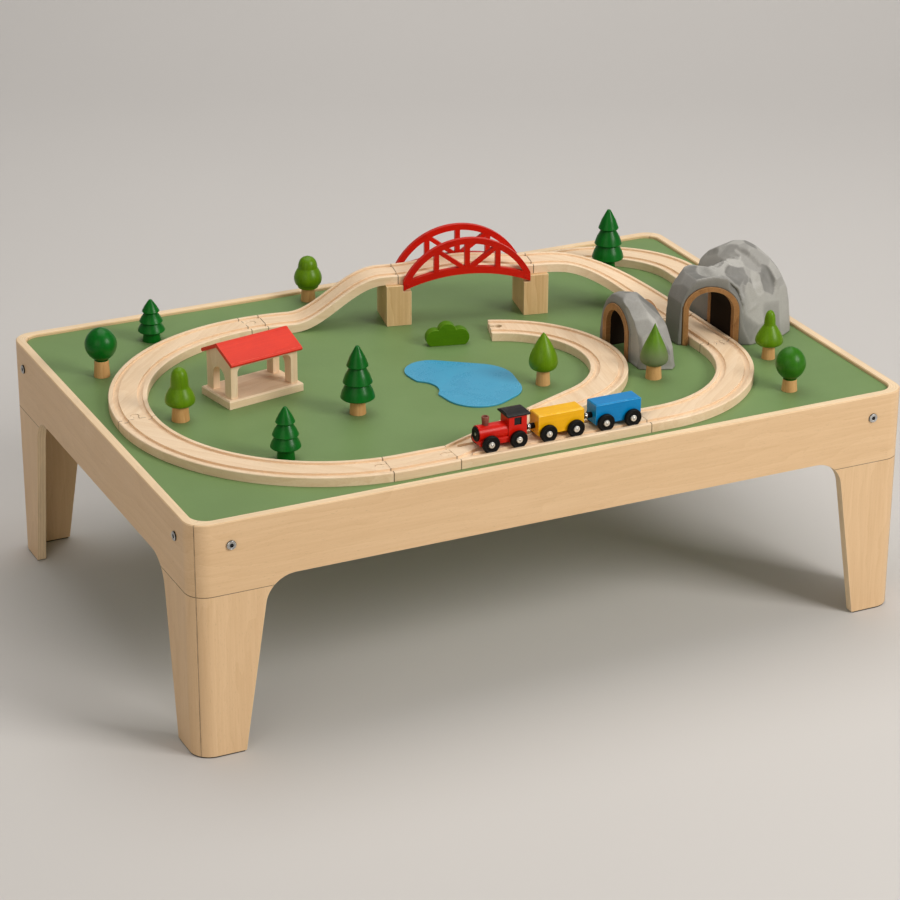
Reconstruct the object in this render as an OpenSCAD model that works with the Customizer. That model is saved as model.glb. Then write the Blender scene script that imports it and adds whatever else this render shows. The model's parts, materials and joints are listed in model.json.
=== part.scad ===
// Children's train table: a plywood table with a let-in green board, a wooden railway,
// a bridge, a station, tunnels, trees and a small train.
// Millimetres. X runs along the table, Y to the back, Z up, with the floor at z = 0.

/* [Table] */
// Overall length along X
table_length = 1200; // [1200:10:1400]
// Overall width along Y
table_width = 812; // [812:2:920]
// Height of the rim above the floor
rim_height = 376; // [340:2:460]
// Depth of the side rails
rail_depth = 100; // [92:1:116]
// Thickness of the rails and of the leg boards
panel_t = 15; // [12:0.5:16]
// Outside radius of the corners
corner_r = 32; // [28:1:38]
// Inside radius of the rim at the corners
inner_r = 26; // [22:1:30]
// How far the green board lies below the rim
board_drop = 5; // [3:0.5:8]
// Thickness of the green board
board_t = 9; // [6:0.5:12]

/* [Legs] */
// Width of a leg at the floor
foot_w = 78; // [70:1:90]
// Width of a leg at the rail
leg_top_w = 120; // [112:1:130]
// Radius of the curve from leg to rail
leg_fillet = 48; // [40:1:54]
// How far the ears of the rails hang below the rail's edge
ear_drop = 14; // [10:1:20]
// Thickness of the pads under the feet
pad_t = 2; // [1:0.5:4]

/* [Bolts] */
// Distance of a bolt from the table's corner
bolt_inset = 62; // [58:1:68]
// Depth of a bolt below the rim
bolt_drop = 37; // [32:1:44]
// Diameter of a bolt head
bolt_head_d = 14.5; // [12:0.5:18]
// Diameter of a bolt shank
bolt_d = 6; // [5:0.5:8]

/* [Track] */
// Width of the track
track_w = 60; // [57:0.5:61]
// Thickness of the track
track_t = 15; // [14:0.5:17]
// Distance between the middles of the two grooves
groove_gauge = 37.5; // [36.5:0.25:38.5]
// Width of a groove
groove_w = 9; // [8.5:0.1:9.5]
// Depth of a groove
groove_d = 4; // [3:0.5:5]

/* [Bridge] */
// Height of the piers
pier_h = 70; // [60:1:76]
// Rise of the deck between the piers
deck_rise = 10; // [6:1:14]
// Height of the red arches above the board
arch_h = 144; // [132:1:156]
// Thickness of a red arch
arch_t = 8; // [6:0.5:9]

/* [Station] */
// Length of the station's base
station_l = 136; // [130:1:146]
// Depth of the station's base
station_w = 82; // [76:1:86]
// Height of the walls at the eaves
eave_h = 59; // [52:1:66]
// Slope of the roof in degrees
roof_slope = 26; // [22:1:30]

/* [Scenery] */
// Height of the mountain above the board
mountain_h = 139; // [134:1:148]
// Height of the cave rock above the board
cave_h = 106; // [98:1:114]
// Thickness of the pond
pond_t = 3; // [2:0.5:5]
// Height of the trees, as a share of the drawn height
tree_scale = 1; // [0.85:0.01:1.1]

/* [Train] */
// Diameter of the wheels
wheel_d = 28; // [26:0.5:30]
// Thickness of a wheel
wheel_t = 6.4; // [5.6:0.2:6.8]
// Diameter of the axles
axle_d = 5; // [4:0.5:6]
// Length of a wagon body
wagon_l = 77; // [72:1:80]
// Height of a wagon body
wagon_h = 34; // [30:1:40]
// Width of the bodies
wagon_w = 30; // [29:0.5:30]
// Distance between the axles of a vehicle
wheelbase = 46; // [44:1:47]

/* [Hidden] */
$fn = 64;

// Colours
ply_color = "#dcbc91";
track_color = "#ecd0ac";
pine_color = "#d9b484";
board_color = "#7c9661";
red_color = "#c81e12";
roof_color = "#e0503a";
rock_color = "#9b9b99";
portal_color = "#a5713f";
pond_color = "#5aa5c8";
dark_leaf = "#12692f";
light_leaf = "#6fa028";
trunk_color = "#c08850";
yellow_color = "#e8ae22";
blue_color = "#0e7ebf";
black_color = "#1c1c1c";
steel_color = "#b9bcc0";
funnel_color = "#8c6a62";

// Small distances
eps = 0.01;
fit = 0.3;
seam = 0.25;

// Table, worked out
half_l = table_length / 2;
half_w = table_width / 2;
rail_z = rim_height - rail_depth;
split_z = rail_z - ear_drop;
board_top = rim_height - board_drop;
board_bottom = board_top - board_t;
bolt_z = rim_height - bolt_drop;
rim_bevel = 1.5;
mitre_reach = 150;
block_w = 62;
block_cut = 34;
block_foot = 8;
strip_w = 18;
batten_w = 40;
batten_x = 210;
shank_l = 36;
head_t = 3;
socket_af = 6;
socket_depth = 2;

// Railway, worked out: the loop closes on itself for any of its radii
front_y = -344;
loop_r = 306;
loop_c = [-233, front_y + loop_r];
line_turn = 12;
line_start = loop_c + loop_r * [sin(line_turn), cos(line_turn)];
line_dir = [cos(line_turn), -sin(line_turn)];
right_x = 418;
bend_r = 220;
bend_c = [right_x - bend_r, front_y + bend_r];
ramp_r = 170;
ramp_start = (right_x - ramp_r + ramp_r * sin(line_turn) - line_start[0]) / cos(line_turn);
ramp_c = [right_x - ramp_r, line_start[1] - ramp_start * sin(line_turn) - ramp_r * cos(line_turn)];
switch_x = -160;
switch_end_x = 160;
siding_r = 168;
siding_c = [60, -70];
siding_end = 161;
leg_vector = siding_c - [switch_x, front_y];
leg_heading = atan2(leg_vector[1], leg_vector[0]) - asin(siding_r / norm(leg_vector));
leg_run = sqrt(norm(leg_vector) * norm(leg_vector) - siding_r * siding_r);
leg_cut = 200;
spur_x = right_x + 114;
spur_r = 145;
spur_c = [spur_x - spur_r, bend_c[1] + 314];
spur_lead = 20;
spur_stop_y = bend_c[1] + 94;
seam_front = 264;
seam_side = 178;
seam_back = 92.3;
seam_ramp = 86.3;
tunnel_track_y = bend_c[1];
edge_cut = 1.2;
peg_d = 13;
peg_neck = 8;
peg_reach = 13;
peg_drop = 0.8;

// Bridge, worked out along the straight line from the loop
deck_from = 178;
deck_to = 408;
pier_w = 42;
pier_d = 76;
pier_s = [178, 411];
rise_from = 2;
rise_to = 156;
fall_from = 24;
fall_end = 8;
arch_mid = 293;
arch_half = 107.5;
arch_band = 10;
arch_foot = 61;
chord_band = 12;
chord_rise = 21;
post_w = 8.5;
post_s = 52;
brace_w = 7;
arch_off = track_w / 2 + fit + arch_t / 2 + 0.4;
pin_d = 5;
profile_steps = 30;
lead_steps = 3;

// Station, worked out
station_at = loop_c + [-95, 66];
station_turn = 10.5;
base_h = 14;
gable_t = 12;
gable_x = station_l / 2 - 13;
gable_half = station_w / 2 - 6;
gable_peak = eave_h + gable_half * tan(roof_slope);
door_half = 17;
door_spring = 26;
roof_t = 6;
roof_half = gable_half + 7;
roof_l = station_l - 6;
ridge_r = roof_t + 0.4;
plate_h = 8;
bracket_r = 10;

// Mountain and cave, worked out
bore_half = 33;
bore_spring = 60;
ring_w = 8;
ring_t = 9;
portal_turn = 25;
portal_at = [right_x, bend_c[1] + 20];
nose_end = portal_at[1] + 66;
nose_spare = 60;
spur_half = 32;
spur_ring_w = 8;
spur_spring = 38;
spur_face_y = nose_end + 82;
mountain_mid = [right_x + 97, nose_end + 8];
peak_at = mountain_mid + [5, 5];
ridge_h = mountain_h - 8;
ridge_mid = [right_x + 40, nose_end - 26];
ridge_at = ridge_mid + [11, 4];
cave_x = siding_c[0] + siding_r + track_w / 2 + 5;
cave_y = siding_c[1] + 2;
cave_half = 31;
cave_ring_w = 11;
cave_spring = 42;
cave_back_x = cave_x + 61;
cave_mid = [cave_x + 27, cave_y - 12];
cave_peak = cave_mid + [-12, 8];
ring_gap = 0.15;
// A length that reaches past any rock
beyond = 400;

// Train, worked out: the train stands on the front straight and faces -X
wheel_gap = 0.3;
axle_z = board_top + track_t - groove_d + wheel_gap + wheel_d / 2;
axle_fit = 0.08;
wheel_in = wagon_w / 2 + 0.6;
body_z = axle_z - 4.4;
coupler_z = axle_z + 9;
coupler_d = 9;
magnet_d = 8;
magnet_t = 1.6;
body_cut = 1.6;
hub_d = 10;
hub_t = 1.2;
loco_l = 77;
loco_x = switch_x + 77;
yellow_x = loco_x + (loco_l + wagon_l) / 2 + 19;
blue_x = yellow_x + wagon_l + 20;
loco_w = 28;
frame_h = 10;
boiler_r = 13;
boiler_z = axle_z + 12.7;
cab_l = 30;
cab_top = axle_z + 36.7;
cab_roof_t = 5;
window_w = 12;
window_depth = 2;
funnel_x = loco_x - 24;
funnel_d = 12;
funnel_top = boiler_z + boiler_r + 13;

// Helpers

module on_board() {
    translate([0, 0, board_top])
        children();
}

module rounded_rect(l, w, r) {
    square([l - 2 * r, w], center = true);
    square([l, w - 2 * r], center = true);
    for (sx = [-1, 1], sy = [-1, 1])
        translate([sx * (l / 2 - r), sy * (w / 2 - r)])
            circle(r);
}

// Sweeps a small outline, drawn as (outward, up), round a rounded rectangle
module edge_sweep(l, w, r) {
    for (s = [-1, 1]) {
        mirror([0, s > 0 ? 0 : 1, 0])
            translate([-(l / 2 - r), w / 2, 0])
                rotate([90, 0, 90])
                    linear_extrude(l - 2 * r)
                        children();
        mirror([s > 0 ? 0 : 1, 0, 0])
            translate([l / 2, w / 2 - r, 0])
                rotate([90, 0, 0])
                    linear_extrude(w - 2 * r)
                        children();
    }
    for (sx = [-1, 1], sy = [-1, 1])
        mirror([sx > 0 ? 0 : 1, 0, 0])
            mirror([0, sy > 0 ? 0 : 1, 0])
                translate([l / 2 - r, w / 2 - r, 0])
                    rotate_extrude(angle = 90)
                        translate([r, 0])
                            children();
}

// An arch outline with straight sides, open below
module arch_2d(half, spring) {
    translate([-half, -1])
        square([2 * half, spring + 1]);
    translate([0, spring])
        circle(half);
}

// Table

module rim_plan() {
    difference() {
        rounded_rect(table_length, table_width, corner_r);
        rounded_rect(table_length - 2 * panel_t, table_width - 2 * panel_t, inner_r);
    }
}

// The part of the plan that belongs to a front or back board, cut at 45 degrees
module wedge_y(side) {
    cut = seam / 2 * sqrt(2);
    polygon([
        [-half_l - 1 + cut, side * (half_w + 1)],
        [half_l + 1 - cut, side * (half_w + 1)],
        [half_l - mitre_reach - cut, side * (half_w - mitre_reach)],
        [-half_l + mitre_reach + cut, side * (half_w - mitre_reach)]
    ]);
}

module wedge_x(side) {
    cut = seam / 2 * sqrt(2);
    polygon([
        [side * (half_l + 1), -half_w - 1 + cut],
        [side * (half_l + 1), half_w + 1 - cut],
        [side * (half_l - mitre_reach), half_w - mitre_reach - cut],
        [side * (half_l - mitre_reach), -half_w + mitre_reach + cut]
    ]);
}

// One half of the opening under a rail, with its curved top corner
module half_opening(half) {
    foot = [half - foot_w, pad_t];
    head = [half - leg_top_w, rail_z];
    along = (head - foot) / norm(head - foot);
    center_z = rail_z - leg_fillet;
    center_x = foot[0] + ((center_z - foot[1]) * along[0] - leg_fillet) / along[1];
    polygon([
        [-1, pad_t - 1],
        [foot[0] - along[0] / along[1], pad_t - 1],
        [center_x + leg_fillet * along[1], center_z - leg_fillet * along[0]],
        [center_x, rail_z],
        [-1, rail_z]
    ]);
    translate([center_x, center_z])
        circle(leg_fillet);
}

// A side of the table seen square on
module elevation(half) {
    difference() {
        translate([-half, pad_t])
            square([2 * half, rim_height - pad_t]);
        half_opening(half);
        mirror([1, 0])
            half_opening(half);
    }
}

module board_y(side, z0, z1) {
    intersection() {
        translate([0, 0, z0])
            linear_extrude(z1 - z0)
                intersection() {
                    rim_plan();
                    wedge_y(side);
                }
        translate([0, half_w, 0])
            rotate([90, 0, 0])
                linear_extrude(table_width)
                    elevation(half_l);
    }
}

module board_x(side, z0, z1) {
    intersection() {
        translate([0, 0, z0])
            linear_extrude(z1 - z0)
                intersection() {
                    rim_plan();
                    wedge_x(side);
                }
        translate([-half_l, 0, 0])
            rotate([90, 0, 90])
                linear_extrude(table_length)
                    elevation(half_w);
    }
}

// The small bevels along the top of the rim
module rim_bevels() {
    translate([0, 0, rim_height]) {
        edge_sweep(table_length, table_width, corner_r)
            polygon([[-rim_bevel, 0.1], [-rim_bevel, 0], [0, -rim_bevel], [0.1, -rim_bevel], [0.1, 0.1]]);
        edge_sweep(table_length - 2 * panel_t, table_width - 2 * panel_t, inner_r)
            polygon([[rim_bevel, 0.1], [rim_bevel, 0], [0, -rim_bevel], [-0.1, -rim_bevel], [-0.1, 0.1]]);
    }
}

// Places a child at each bolt of a front or back rail, with its shank along -Z into the wood
module bolts_y(side) {
    for (sx = [-1, 1])
        translate([sx * (half_l - bolt_inset), side * half_w, bolt_z])
            rotate([-90 * side, 0, 0])
                children();
}

module bolts_x(side) {
    for (sy = [-1, 1])
        translate([side * half_l, sy * (half_w - bolt_inset), bolt_z])
            rotate([0, 90 * side, 0])
                children();
}

module bolt_bore() {
    translate([0, 0, -shank_l - 2])
        cylinder(d = bolt_d + 0.4, h = shank_l + 4);
}

module bolt() {
    translate([0, 0, -shank_l])
        cylinder(d = bolt_d, h = shank_l + eps);
    difference() {
        rotate_extrude()
            polygon([
                [0, 0], [bolt_head_d / 2, 0], [bolt_head_d / 2, head_t - 1],
                [bolt_head_d / 2 - 1, head_t], [bolt_head_d / 2 - 2.4, head_t],
                [bolt_head_d / 2 - 2.9, head_t - 0.7], [0, head_t - 0.7]
            ]);
        translate([0, 0, head_t - socket_depth])
            cylinder(d = socket_af / cos(30), h = head_t, $fn = 6);
    }
}

module rail_y(side) {
    color(ply_color)
        difference() {
            board_y(side, split_z, rim_height);
            rim_bevels();
            bolts_y(side)
                bolt_bore();
        }
}

module rail_x(side) {
    color(ply_color)
        difference() {
            board_x(side, split_z, rim_height);
            rim_bevels();
            bolts_x(side)
                bolt_bore();
        }
}

module rail_front() { rail_y(-1); }

module rail_back() { rail_y(1); }

module rail_left() { rail_x(-1); }

module rail_right() { rail_x(1); }

module leg(sx, sy) {
    color(ply_color)
        intersection() {
            union() {
                board_y(sy, pad_t, split_z);
                board_x(sx, pad_t, split_z);
            }
            translate([sx * half_l, sy * half_w, 0])
                cube([4 * mitre_reach, 4 * mitre_reach, 2 * rim_height], center = true);
        }
}

module leg_front_left() { leg(-1, -1); }

module leg_front_right() { leg(1, -1); }

module leg_back_left() { leg(-1, 1); }

module leg_back_right() { leg(1, 1); }

module foot_pads() {
    color(black_color)
        linear_extrude(pad_t)
            intersection() {
                difference() {
                    rounded_rect(table_length - 2, table_width - 2, corner_r - 1);
                    rounded_rect(table_length - 2 * panel_t + 2, table_width - 2 * panel_t + 2, inner_r + 1);
                }
                for (sx = [-1, 1], sy = [-1, 1])
                    translate([sx * half_l, sy * half_w])
                        square(2 * (foot_w - 3), center = true);
            }
}

module corner_blocks() {
    color(pine_color)
        for (sx = [-1, 1], sy = [-1, 1])
            difference() {
                mirror([sx > 0 ? 1 : 0, 0, 0])
                    mirror([0, sy > 0 ? 1 : 0, 0])
                        translate([-half_l + panel_t, -half_w + panel_t, rail_z + block_foot])
                            linear_extrude(board_bottom - rail_z - block_foot)
                                polygon([
                                    [0, inner_r], [0, block_w], [block_cut, block_w],
                                    [block_w, block_cut], [block_w, 0], [inner_r, 0]
                                ]);
                bolts_y(sy)
                    bolt_bore();
                bolts_x(sx)
                    bolt_bore();
            }
}

module rail_bolts() {
    color(steel_color)
        for (side = [-1, 1]) {
            bolts_y(side)
                bolt();
            bolts_x(side)
                bolt();
        }
}

module board_battens() {
    inner_l = half_l - panel_t;
    inner_w = half_w - panel_t;
    color(pine_color)
        translate([0, 0, board_bottom - strip_w]) {
            for (s = [-1, 1]) {
                translate([-inner_l + block_w + 1, s > 0 ? inner_w - strip_w : -inner_w, 0])
                    cube([2 * (inner_l - block_w - 1), strip_w, strip_w]);
                translate([s > 0 ? inner_l - strip_w : -inner_l, -inner_w + block_w + 1, 0])
                    cube([strip_w, 2 * (inner_w - block_w - 1), strip_w]);
                translate([s * batten_x - batten_w / 2, -inner_w + strip_w - eps, 0])
                    cube([batten_w, 2 * (inner_w - strip_w + eps), strip_w]);
            }
        }
}

module play_board() {
    color(board_color)
        translate([0, 0, board_bottom])
            linear_extrude(board_t)
                rounded_rect(2 * (half_l - panel_t - fit), 2 * (half_w - panel_t - fit), inner_r);
}

// Railway

// Cross-section of the track, standing on y = 0
function track_outline() = let (
    h = track_w / 2,
    g = groove_gauge / 2,
    v = groove_w / 2,
    f = track_t - groove_d
) [
    [-h, 0], [h, 0], [h, track_t - edge_cut], [h - edge_cut, track_t],
    [g + v, track_t], [g + v, f], [g - v, f], [g - v, track_t],
    [v - g, track_t], [v - g, f], [-g - v, f], [-g - v, track_t],
    [edge_cut - h, track_t], [-h, track_t - edge_cut]
];

module track_section() {
    polygon(track_outline());
}

// Runs a cross-section from a point along a heading
module run(from, heading, length) {
    translate([from[0], from[1], 0])
        rotate([0, 0, heading])
            rotate([90, 0, 90])
                linear_extrude(length)
                    children();
}

// Turns a cross-section round a centre between two angles
module bend(center, radius, from, to) {
    translate([center[0], center[1], 0])
        rotate([0, 0, from])
            rotate_extrude(angle = to - from, $fn = 128)
                translate([radius, 0])
                    children();
}

// Takes off the upper edge of a straight side, with the piece on its left, and runs past its free ends
module edge_cutter(from, to, before = 1, after = 1) {
    d = (to - from) / norm(to - from);
    run(from - before * d, atan2(d[1], d[0]), norm(to - from) + before + after)
        polygon([[-1, track_t - edge_cut - 1], [edge_cut + 1, track_t + 1], [-1, track_t + 1]]);
}

function on_bend(center, radius, angle) = center + radius * [cos(angle), sin(angle)];

// The angle that leaves a small seam at the end of a bend
function seam_angle(radius) = seam / 2 / radius * 180 / PI;

// The dog-bone peg of a track end, or with play its socket
module peg(at, heading, play = 0) {
    height = play > 0 ? track_t + 2 : track_t - peg_drop;
    translate([at[0], at[1], play > 0 ? -1 : 0])
        rotate([0, 0, heading]) {
            translate([-1, -peg_neck / 2 - play, 0])
                cube([peg_reach + 1, peg_neck + 2 * play, height]);
            translate([peg_reach, 0, 0])
                cylinder(d = peg_d + 2 * play, h = height, $fn = 40);
        }
}

module straight_left() {
    color(track_color)
        on_board()
            difference() {
                union() {
                    run([loop_c[0], front_y], 0, switch_x - seam / 2 - loop_c[0])
                        track_section();
                    bend(loop_c, loop_r, 270, seam_front + seam_angle(loop_r))
                        track_section();
                    peg(on_bend(loop_c, loop_r, seam_front), seam_front - 90);
                }
                peg([switch_x, front_y], 180, fit);
            }
}

module loop_piece(from, to, pegged = true) {
    color(track_color)
        on_board()
            difference() {
                union() {
                    bend(loop_c, loop_r, to + seam_angle(loop_r), from - seam_angle(loop_r))
                        track_section();
                    if (pegged)
                        peg(on_bend(loop_c, loop_r, to), to - 90);
                }
                peg(on_bend(loop_c, loop_r, from), from - 90, fit);
            }
}

module curve_left_front() { loop_piece(seam_front, seam_side); }

module curve_left_back() { loop_piece(seam_side, seam_back); }

module joint_back() { loop_piece(seam_back, seam_ramp, false); }

// Smooth climb from 0 to 1, and its grade
function ease(t) = (1 - cos(180 * min(1, max(0, t)))) / 2;

function ease_grade(t) = PI / 2 * sin(180 * min(1, max(0, t)));

function climb(s) = pier_h * ease((s - rise_from) / (rise_to - rise_from));

function climb_grade(s) = let (run = rise_to - rise_from) pier_h * ease_grade((s - rise_from) / run) / run;

deck_l = deck_to - deck_from;

function deck(s) = pier_h + deck_rise * (1 - cos(360 * (s - deck_from) / deck_l)) / 2;

function deck_grade(s) = deck_rise * PI * sin(360 * (s - deck_from) / deck_l) / deck_l;

// A track swept along stations: each a place, the heading there and the slope
module swept_track(stations) {
    section = track_outline();
    m = len(section);
    n = len(stations);
    points = [
        for (q = stations, p = section)
            let (at = q[0], heading = q[1], slope = q[2], back = p[1] * sin(slope))
            [
                at[0] - p[0] * sin(heading) - back * cos(heading),
                at[1] + p[0] * cos(heading) - back * sin(heading),
                at[2] + p[1] * cos(slope)
            ]
    ];
    sides = [
        for (k = [0:n - 2], i = [0:m - 1], half = [0, 1])
            let (a = k * m + i, b = k * m + (i + 1) % m)
            half == 0 ? [a, b, b + m] : [a, b + m, a + m]
    ];
    ends = [[for (i = [m - 1:-1:0]) i], [for (i = [0:m - 1]) (n - 1) * m + i]];
    polyhedron(points, concat(sides, ends));
}

function line_station(s, height, grade) = [
    [line_start[0] + s * line_dir[0], line_start[1] + s * line_dir[1], height],
    -line_turn,
    atan(grade)
];

function bend_station(center, radius, angle, height, grade) = [
    [center[0] + radius * cos(angle), center[1] + radius * sin(angle), height],
    angle - 90,
    atan(grade)
];

module ramp_left() {
    span = deck_from - seam / 2;
    lead = seam_ramp - seam_angle(loop_r);
    stations = concat(
        [for (i = [0:lead_steps - 1])
            bend_station(loop_c, loop_r, lead + (90 - line_turn - lead) * i / lead_steps, 0, 0)],
        [for (i = [0:profile_steps]) let (s = rise_to * i / profile_steps)
            line_station(s, climb(s), climb_grade(s))],
        [line_station(span, pier_h, 0)]
    );
    color(track_color)
        on_board()
            swept_track(stations);
}

module bridge_deck() {
    from = deck_from + seam / 2;
    span = deck_to - deck_from - seam;
    color(track_color)
        on_board()
            swept_track([
                for (i = [0:profile_steps]) let (s = from + span * i / profile_steps)
                    line_station(s, deck(s), deck_grade(s))
            ]);
}

// The descent: along the line first, then round the bend, with its height falling off
ramp_flat = ramp_start - deck_to;
ramp_arc = ramp_r * (90 - line_turn) * PI / 180;
fall_run = ramp_flat + ramp_arc - fall_from - fall_end;

function fall(u) = pier_h * (1 - ease((u - fall_from) / fall_run));

function fall_grade(u) = -pier_h * ease_grade((u - fall_from) / fall_run) / fall_run;

function ramp_angle(u) = 90 - line_turn - (u - ramp_flat) / ramp_r * 180 / PI;

module ramp_right() {
    stations = concat(
        [for (u = [seam / 2, fall_from, (fall_from + ramp_flat) / 2])
            line_station(deck_to + u, fall(u), fall_grade(u))],
        [for (i = [0:profile_steps]) let (u = ramp_flat + (ramp_arc - seam / 2) * i / profile_steps)
            bend_station(ramp_c, ramp_r, ramp_angle(u), fall(u), fall_grade(u))]
    );
    color(track_color)
        on_board()
            swept_track(stations);
}

module straight_tunnel() {
    color(track_color)
        on_board() {
            run([right_x, tunnel_track_y + seam / 2], 90, ramp_c[1] - tunnel_track_y - seam)
                track_section();
            peg([right_x, tunnel_track_y], -90);
        }
}

module curve_right() {
    color(track_color)
        on_board()
            difference() {
                union() {
                    bend(bend_c, bend_r, -90, -seam_angle(bend_r))
                        track_section();
                    run([switch_end_x + seam / 2, front_y], 0, bend_c[0] - switch_end_x - seam / 2)
                        track_section();
                    peg([switch_end_x, front_y], 180);
                }
                peg([right_x, tunnel_track_y], -90, fit);
            }
}

// Grooves of a straight track, seen from above
module groove_plan(length) {
    for (s = [-1, 1])
        translate([0, s * groove_gauge / 2 - groove_w / 2])
            square([length, groove_w]);
}

module switch_front() {
    h = track_w / 2;
    d = [cos(leg_heading), sin(leg_heading)];
    side = h * [-d[1], d[0]];
    start = [switch_x, front_y];
    tip = start + leg_cut * d;
    near = start + [seam / 2, 0];
    far = [switch_end_x - seam / 2, front_y];
    end = tip - seam / 2 * d;
    crotch = start + h * [(1 + d[0]) / d[1], 1];
    plan = [near - [0, h], far - [0, h], far + [0, h], crotch, end - side, end + side, near + [0, h]];
    color(track_color)
        on_board()
            difference() {
                union() {
                    linear_extrude(track_t)
                        polygon(plan);
                    peg(start, 180);
                    peg(tip, leg_heading);
                }
                edge_cutter(plan[0], plan[1]);
                edge_cutter(plan[2], plan[3], 1, 0);
                edge_cutter(plan[3], plan[4], 0, 1);
                edge_cutter(plan[5], plan[6]);
                translate([0, 0, track_t - groove_d])
                    linear_extrude(groove_d + 1) {
                        translate(start - [1, 0])
                            groove_plan(switch_end_x - switch_x + 2);
                        translate(start)
                            rotate(leg_heading)
                                translate([-track_w, 0])
                                    groove_plan(leg_cut + track_w + 2);
                    }
                peg([switch_end_x, front_y], 180, fit);
            }
}

module siding() {
    start = [switch_x, front_y] + leg_cut * [cos(leg_heading), sin(leg_heading)];
    stop = on_bend(siding_c, siding_r, siding_end - 90);
    color(track_color)
        on_board()
            difference() {
                union() {
                    run(start + seam / 2 * [cos(leg_heading), sin(leg_heading)], leg_heading,
                        leg_run - leg_cut - seam / 2 + eps)
                        track_section();
                    bend(siding_c, siding_r, leg_heading - 90, siding_end - 90)
                        track_section();
                }
                peg(start, leg_heading, fit);
                peg(stop, siding_end + 180, fit);
            }
}

module spur() {
    color(track_color)
        on_board()
            difference() {
                union() {
                    run([spur_c[0] - spur_lead, spur_c[1] + spur_r], 0, spur_lead)
                        track_section();
                    bend(spur_c, spur_r, 0, 90)
                        track_section();
                    run([spur_x, spur_stop_y], 90, spur_c[1] - spur_stop_y)
                        track_section();
                }
                peg([spur_c[0] - spur_lead, spur_c[1] + spur_r], 0, fit);
            }
}

// Bridge

// Turns the frame so that X follows the straight line of the railway
module along_line(s) {
    translate([line_start[0] + s * line_dir[0], line_start[1] + s * line_dir[1], board_top])
        rotate([0, 0, -line_turn])
            children();
}

function arc_radius(half, rise) = (half * half + rise * rise) / (2 * rise);

module arch_face() {
    outer_rise = arch_h - arch_foot - 15;
    outer_r = arc_radius(arch_half, outer_rise);
    outer_z = arch_h - outer_r;
    chord_r = arc_radius(arch_half, chord_rise);
    chord_z = arch_foot + chord_rise - chord_r;
    crown = sqrt(pow(outer_r - arch_band / 2, 2) - post_s * post_s) + outer_z;
    foot = arch_foot + chord_rise + chord_band / 2;
    intersection() {
        difference() {
            translate([0, outer_z])
                circle(outer_r, $fn = 96);
            translate([0, chord_z])
                circle(chord_r, $fn = 160);
        }
        translate([-arch_half, 0])
            square([2 * arch_half, arch_h + 1]);
        union() {
            difference() {
                translate([-arch_half, 0])
                    square([2 * arch_half, arch_h + 1]);
                translate([0, outer_z])
                    circle(outer_r - arch_band, $fn = 96);
            }
            translate([0, chord_z])
                circle(chord_r + chord_band, $fn = 160);
            for (s = [-post_s, 0, post_s])
                translate([s - post_w / 2, 0])
                    square([post_w, arch_h]);
            for (s = [-1, 1])
                translate([0, foot])
                    rotate(atan2(crown - foot, s * post_s))
                        translate([0, -brace_w / 2])
                            square([norm([post_s, crown - foot]), brace_w]);
        }
    }
}

module bridge_arches() {
    color(red_color)
        along_line(arch_mid)
            for (side = [-1, 1]) {
                translate([0, side * arch_off + arch_t / 2, 0])
                    rotate([90, 0, 0])
                        linear_extrude(arch_t)
                            arch_face();
                for (s = [-1, 1])
                    translate([s * (arch_half - 7), side * arch_off, arch_foot + 9])
                        rotate([-90 * side, 0, 0])
                            cylinder(d = pin_d, h = arch_t / 2 + 1, $fn = 32);
            }
}

module bridge_piers() {
    seat = arch_off - arch_t / 2 - fit;
    color(pine_color)
        difference() {
            for (s = pier_s)
                along_line(s)
                    translate([-pier_w / 2, -pier_d / 2, 0])
                        cube([pier_w, pier_d, pier_h]);
            along_line(arch_mid)
                for (side = [-1, 1])
                    translate([-arch_half - fit, side > 0 ? seat : -pier_d, arch_foot - 2])
                        cube([2 * (arch_half + fit), pier_d - seat, pier_h]);
        }
}

// Station

module at_station() {
    translate([station_at[0], station_at[1], board_top])
        rotate([0, 0, station_turn])
            children();
}

module station_base() {
    half = [station_l / 2, station_w / 2];
    color(track_color)
        at_station()
            intersection() {
                rotate([90, 0, 0])
                    translate([0, 0, -half[1]])
                        linear_extrude(station_w)
                            polygon([
                                [-half[0], 0], [half[0], 0], [half[0], base_h - 2],
                                [half[0] - 2, base_h], [2 - half[0], base_h], [-half[0], base_h - 2]
                            ]);
                rotate([90, 0, 90])
                    translate([0, 0, -half[0]])
                        linear_extrude(station_l)
                            polygon([
                                [-half[1], 0], [half[1], 0], [half[1], base_h - 2],
                                [half[1] - 2, base_h], [2 - half[1], base_h], [-half[1], base_h - 2]
                            ]);
            }
}

module gable_face() {
    difference() {
        polygon([
            [-gable_half, 0], [gable_half, 0], [gable_half, eave_h],
            [0, gable_peak], [-gable_half, eave_h]
        ]);
        arch_2d(door_half, door_spring);
    }
}

// A wall plate under the eaves with a curved bracket at each end, seen from the front
module plate_face() {
    reach = gable_x - gable_t / 2;
    difference() {
        translate([-reach - eps, eave_h - plate_h - bracket_r])
            square([2 * (reach + eps), plate_h + bracket_r]);
        translate([-reach + bracket_r, eave_h - plate_h - bracket_r - 1])
            square([2 * (reach - bracket_r), bracket_r + 1]);
        for (s = [-1, 1])
            translate([s * (reach - bracket_r), eave_h - plate_h - bracket_r])
                circle(bracket_r);
    }
}

module station_gables() {
    color(pine_color)
        at_station()
            translate([0, 0, base_h]) {
                for (s = [-1, 1]) {
                    translate([s * gable_x - gable_t / 2, 0, 0])
                        rotate([90, 0, 90])
                            linear_extrude(gable_t)
                                gable_face();
                    translate([0, s * (gable_half - gable_t / 2) + gable_t / 2, 0])
                        rotate([90, 0, 0])
                            linear_extrude(gable_t)
                                plate_face();
                }
            }
}

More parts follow.
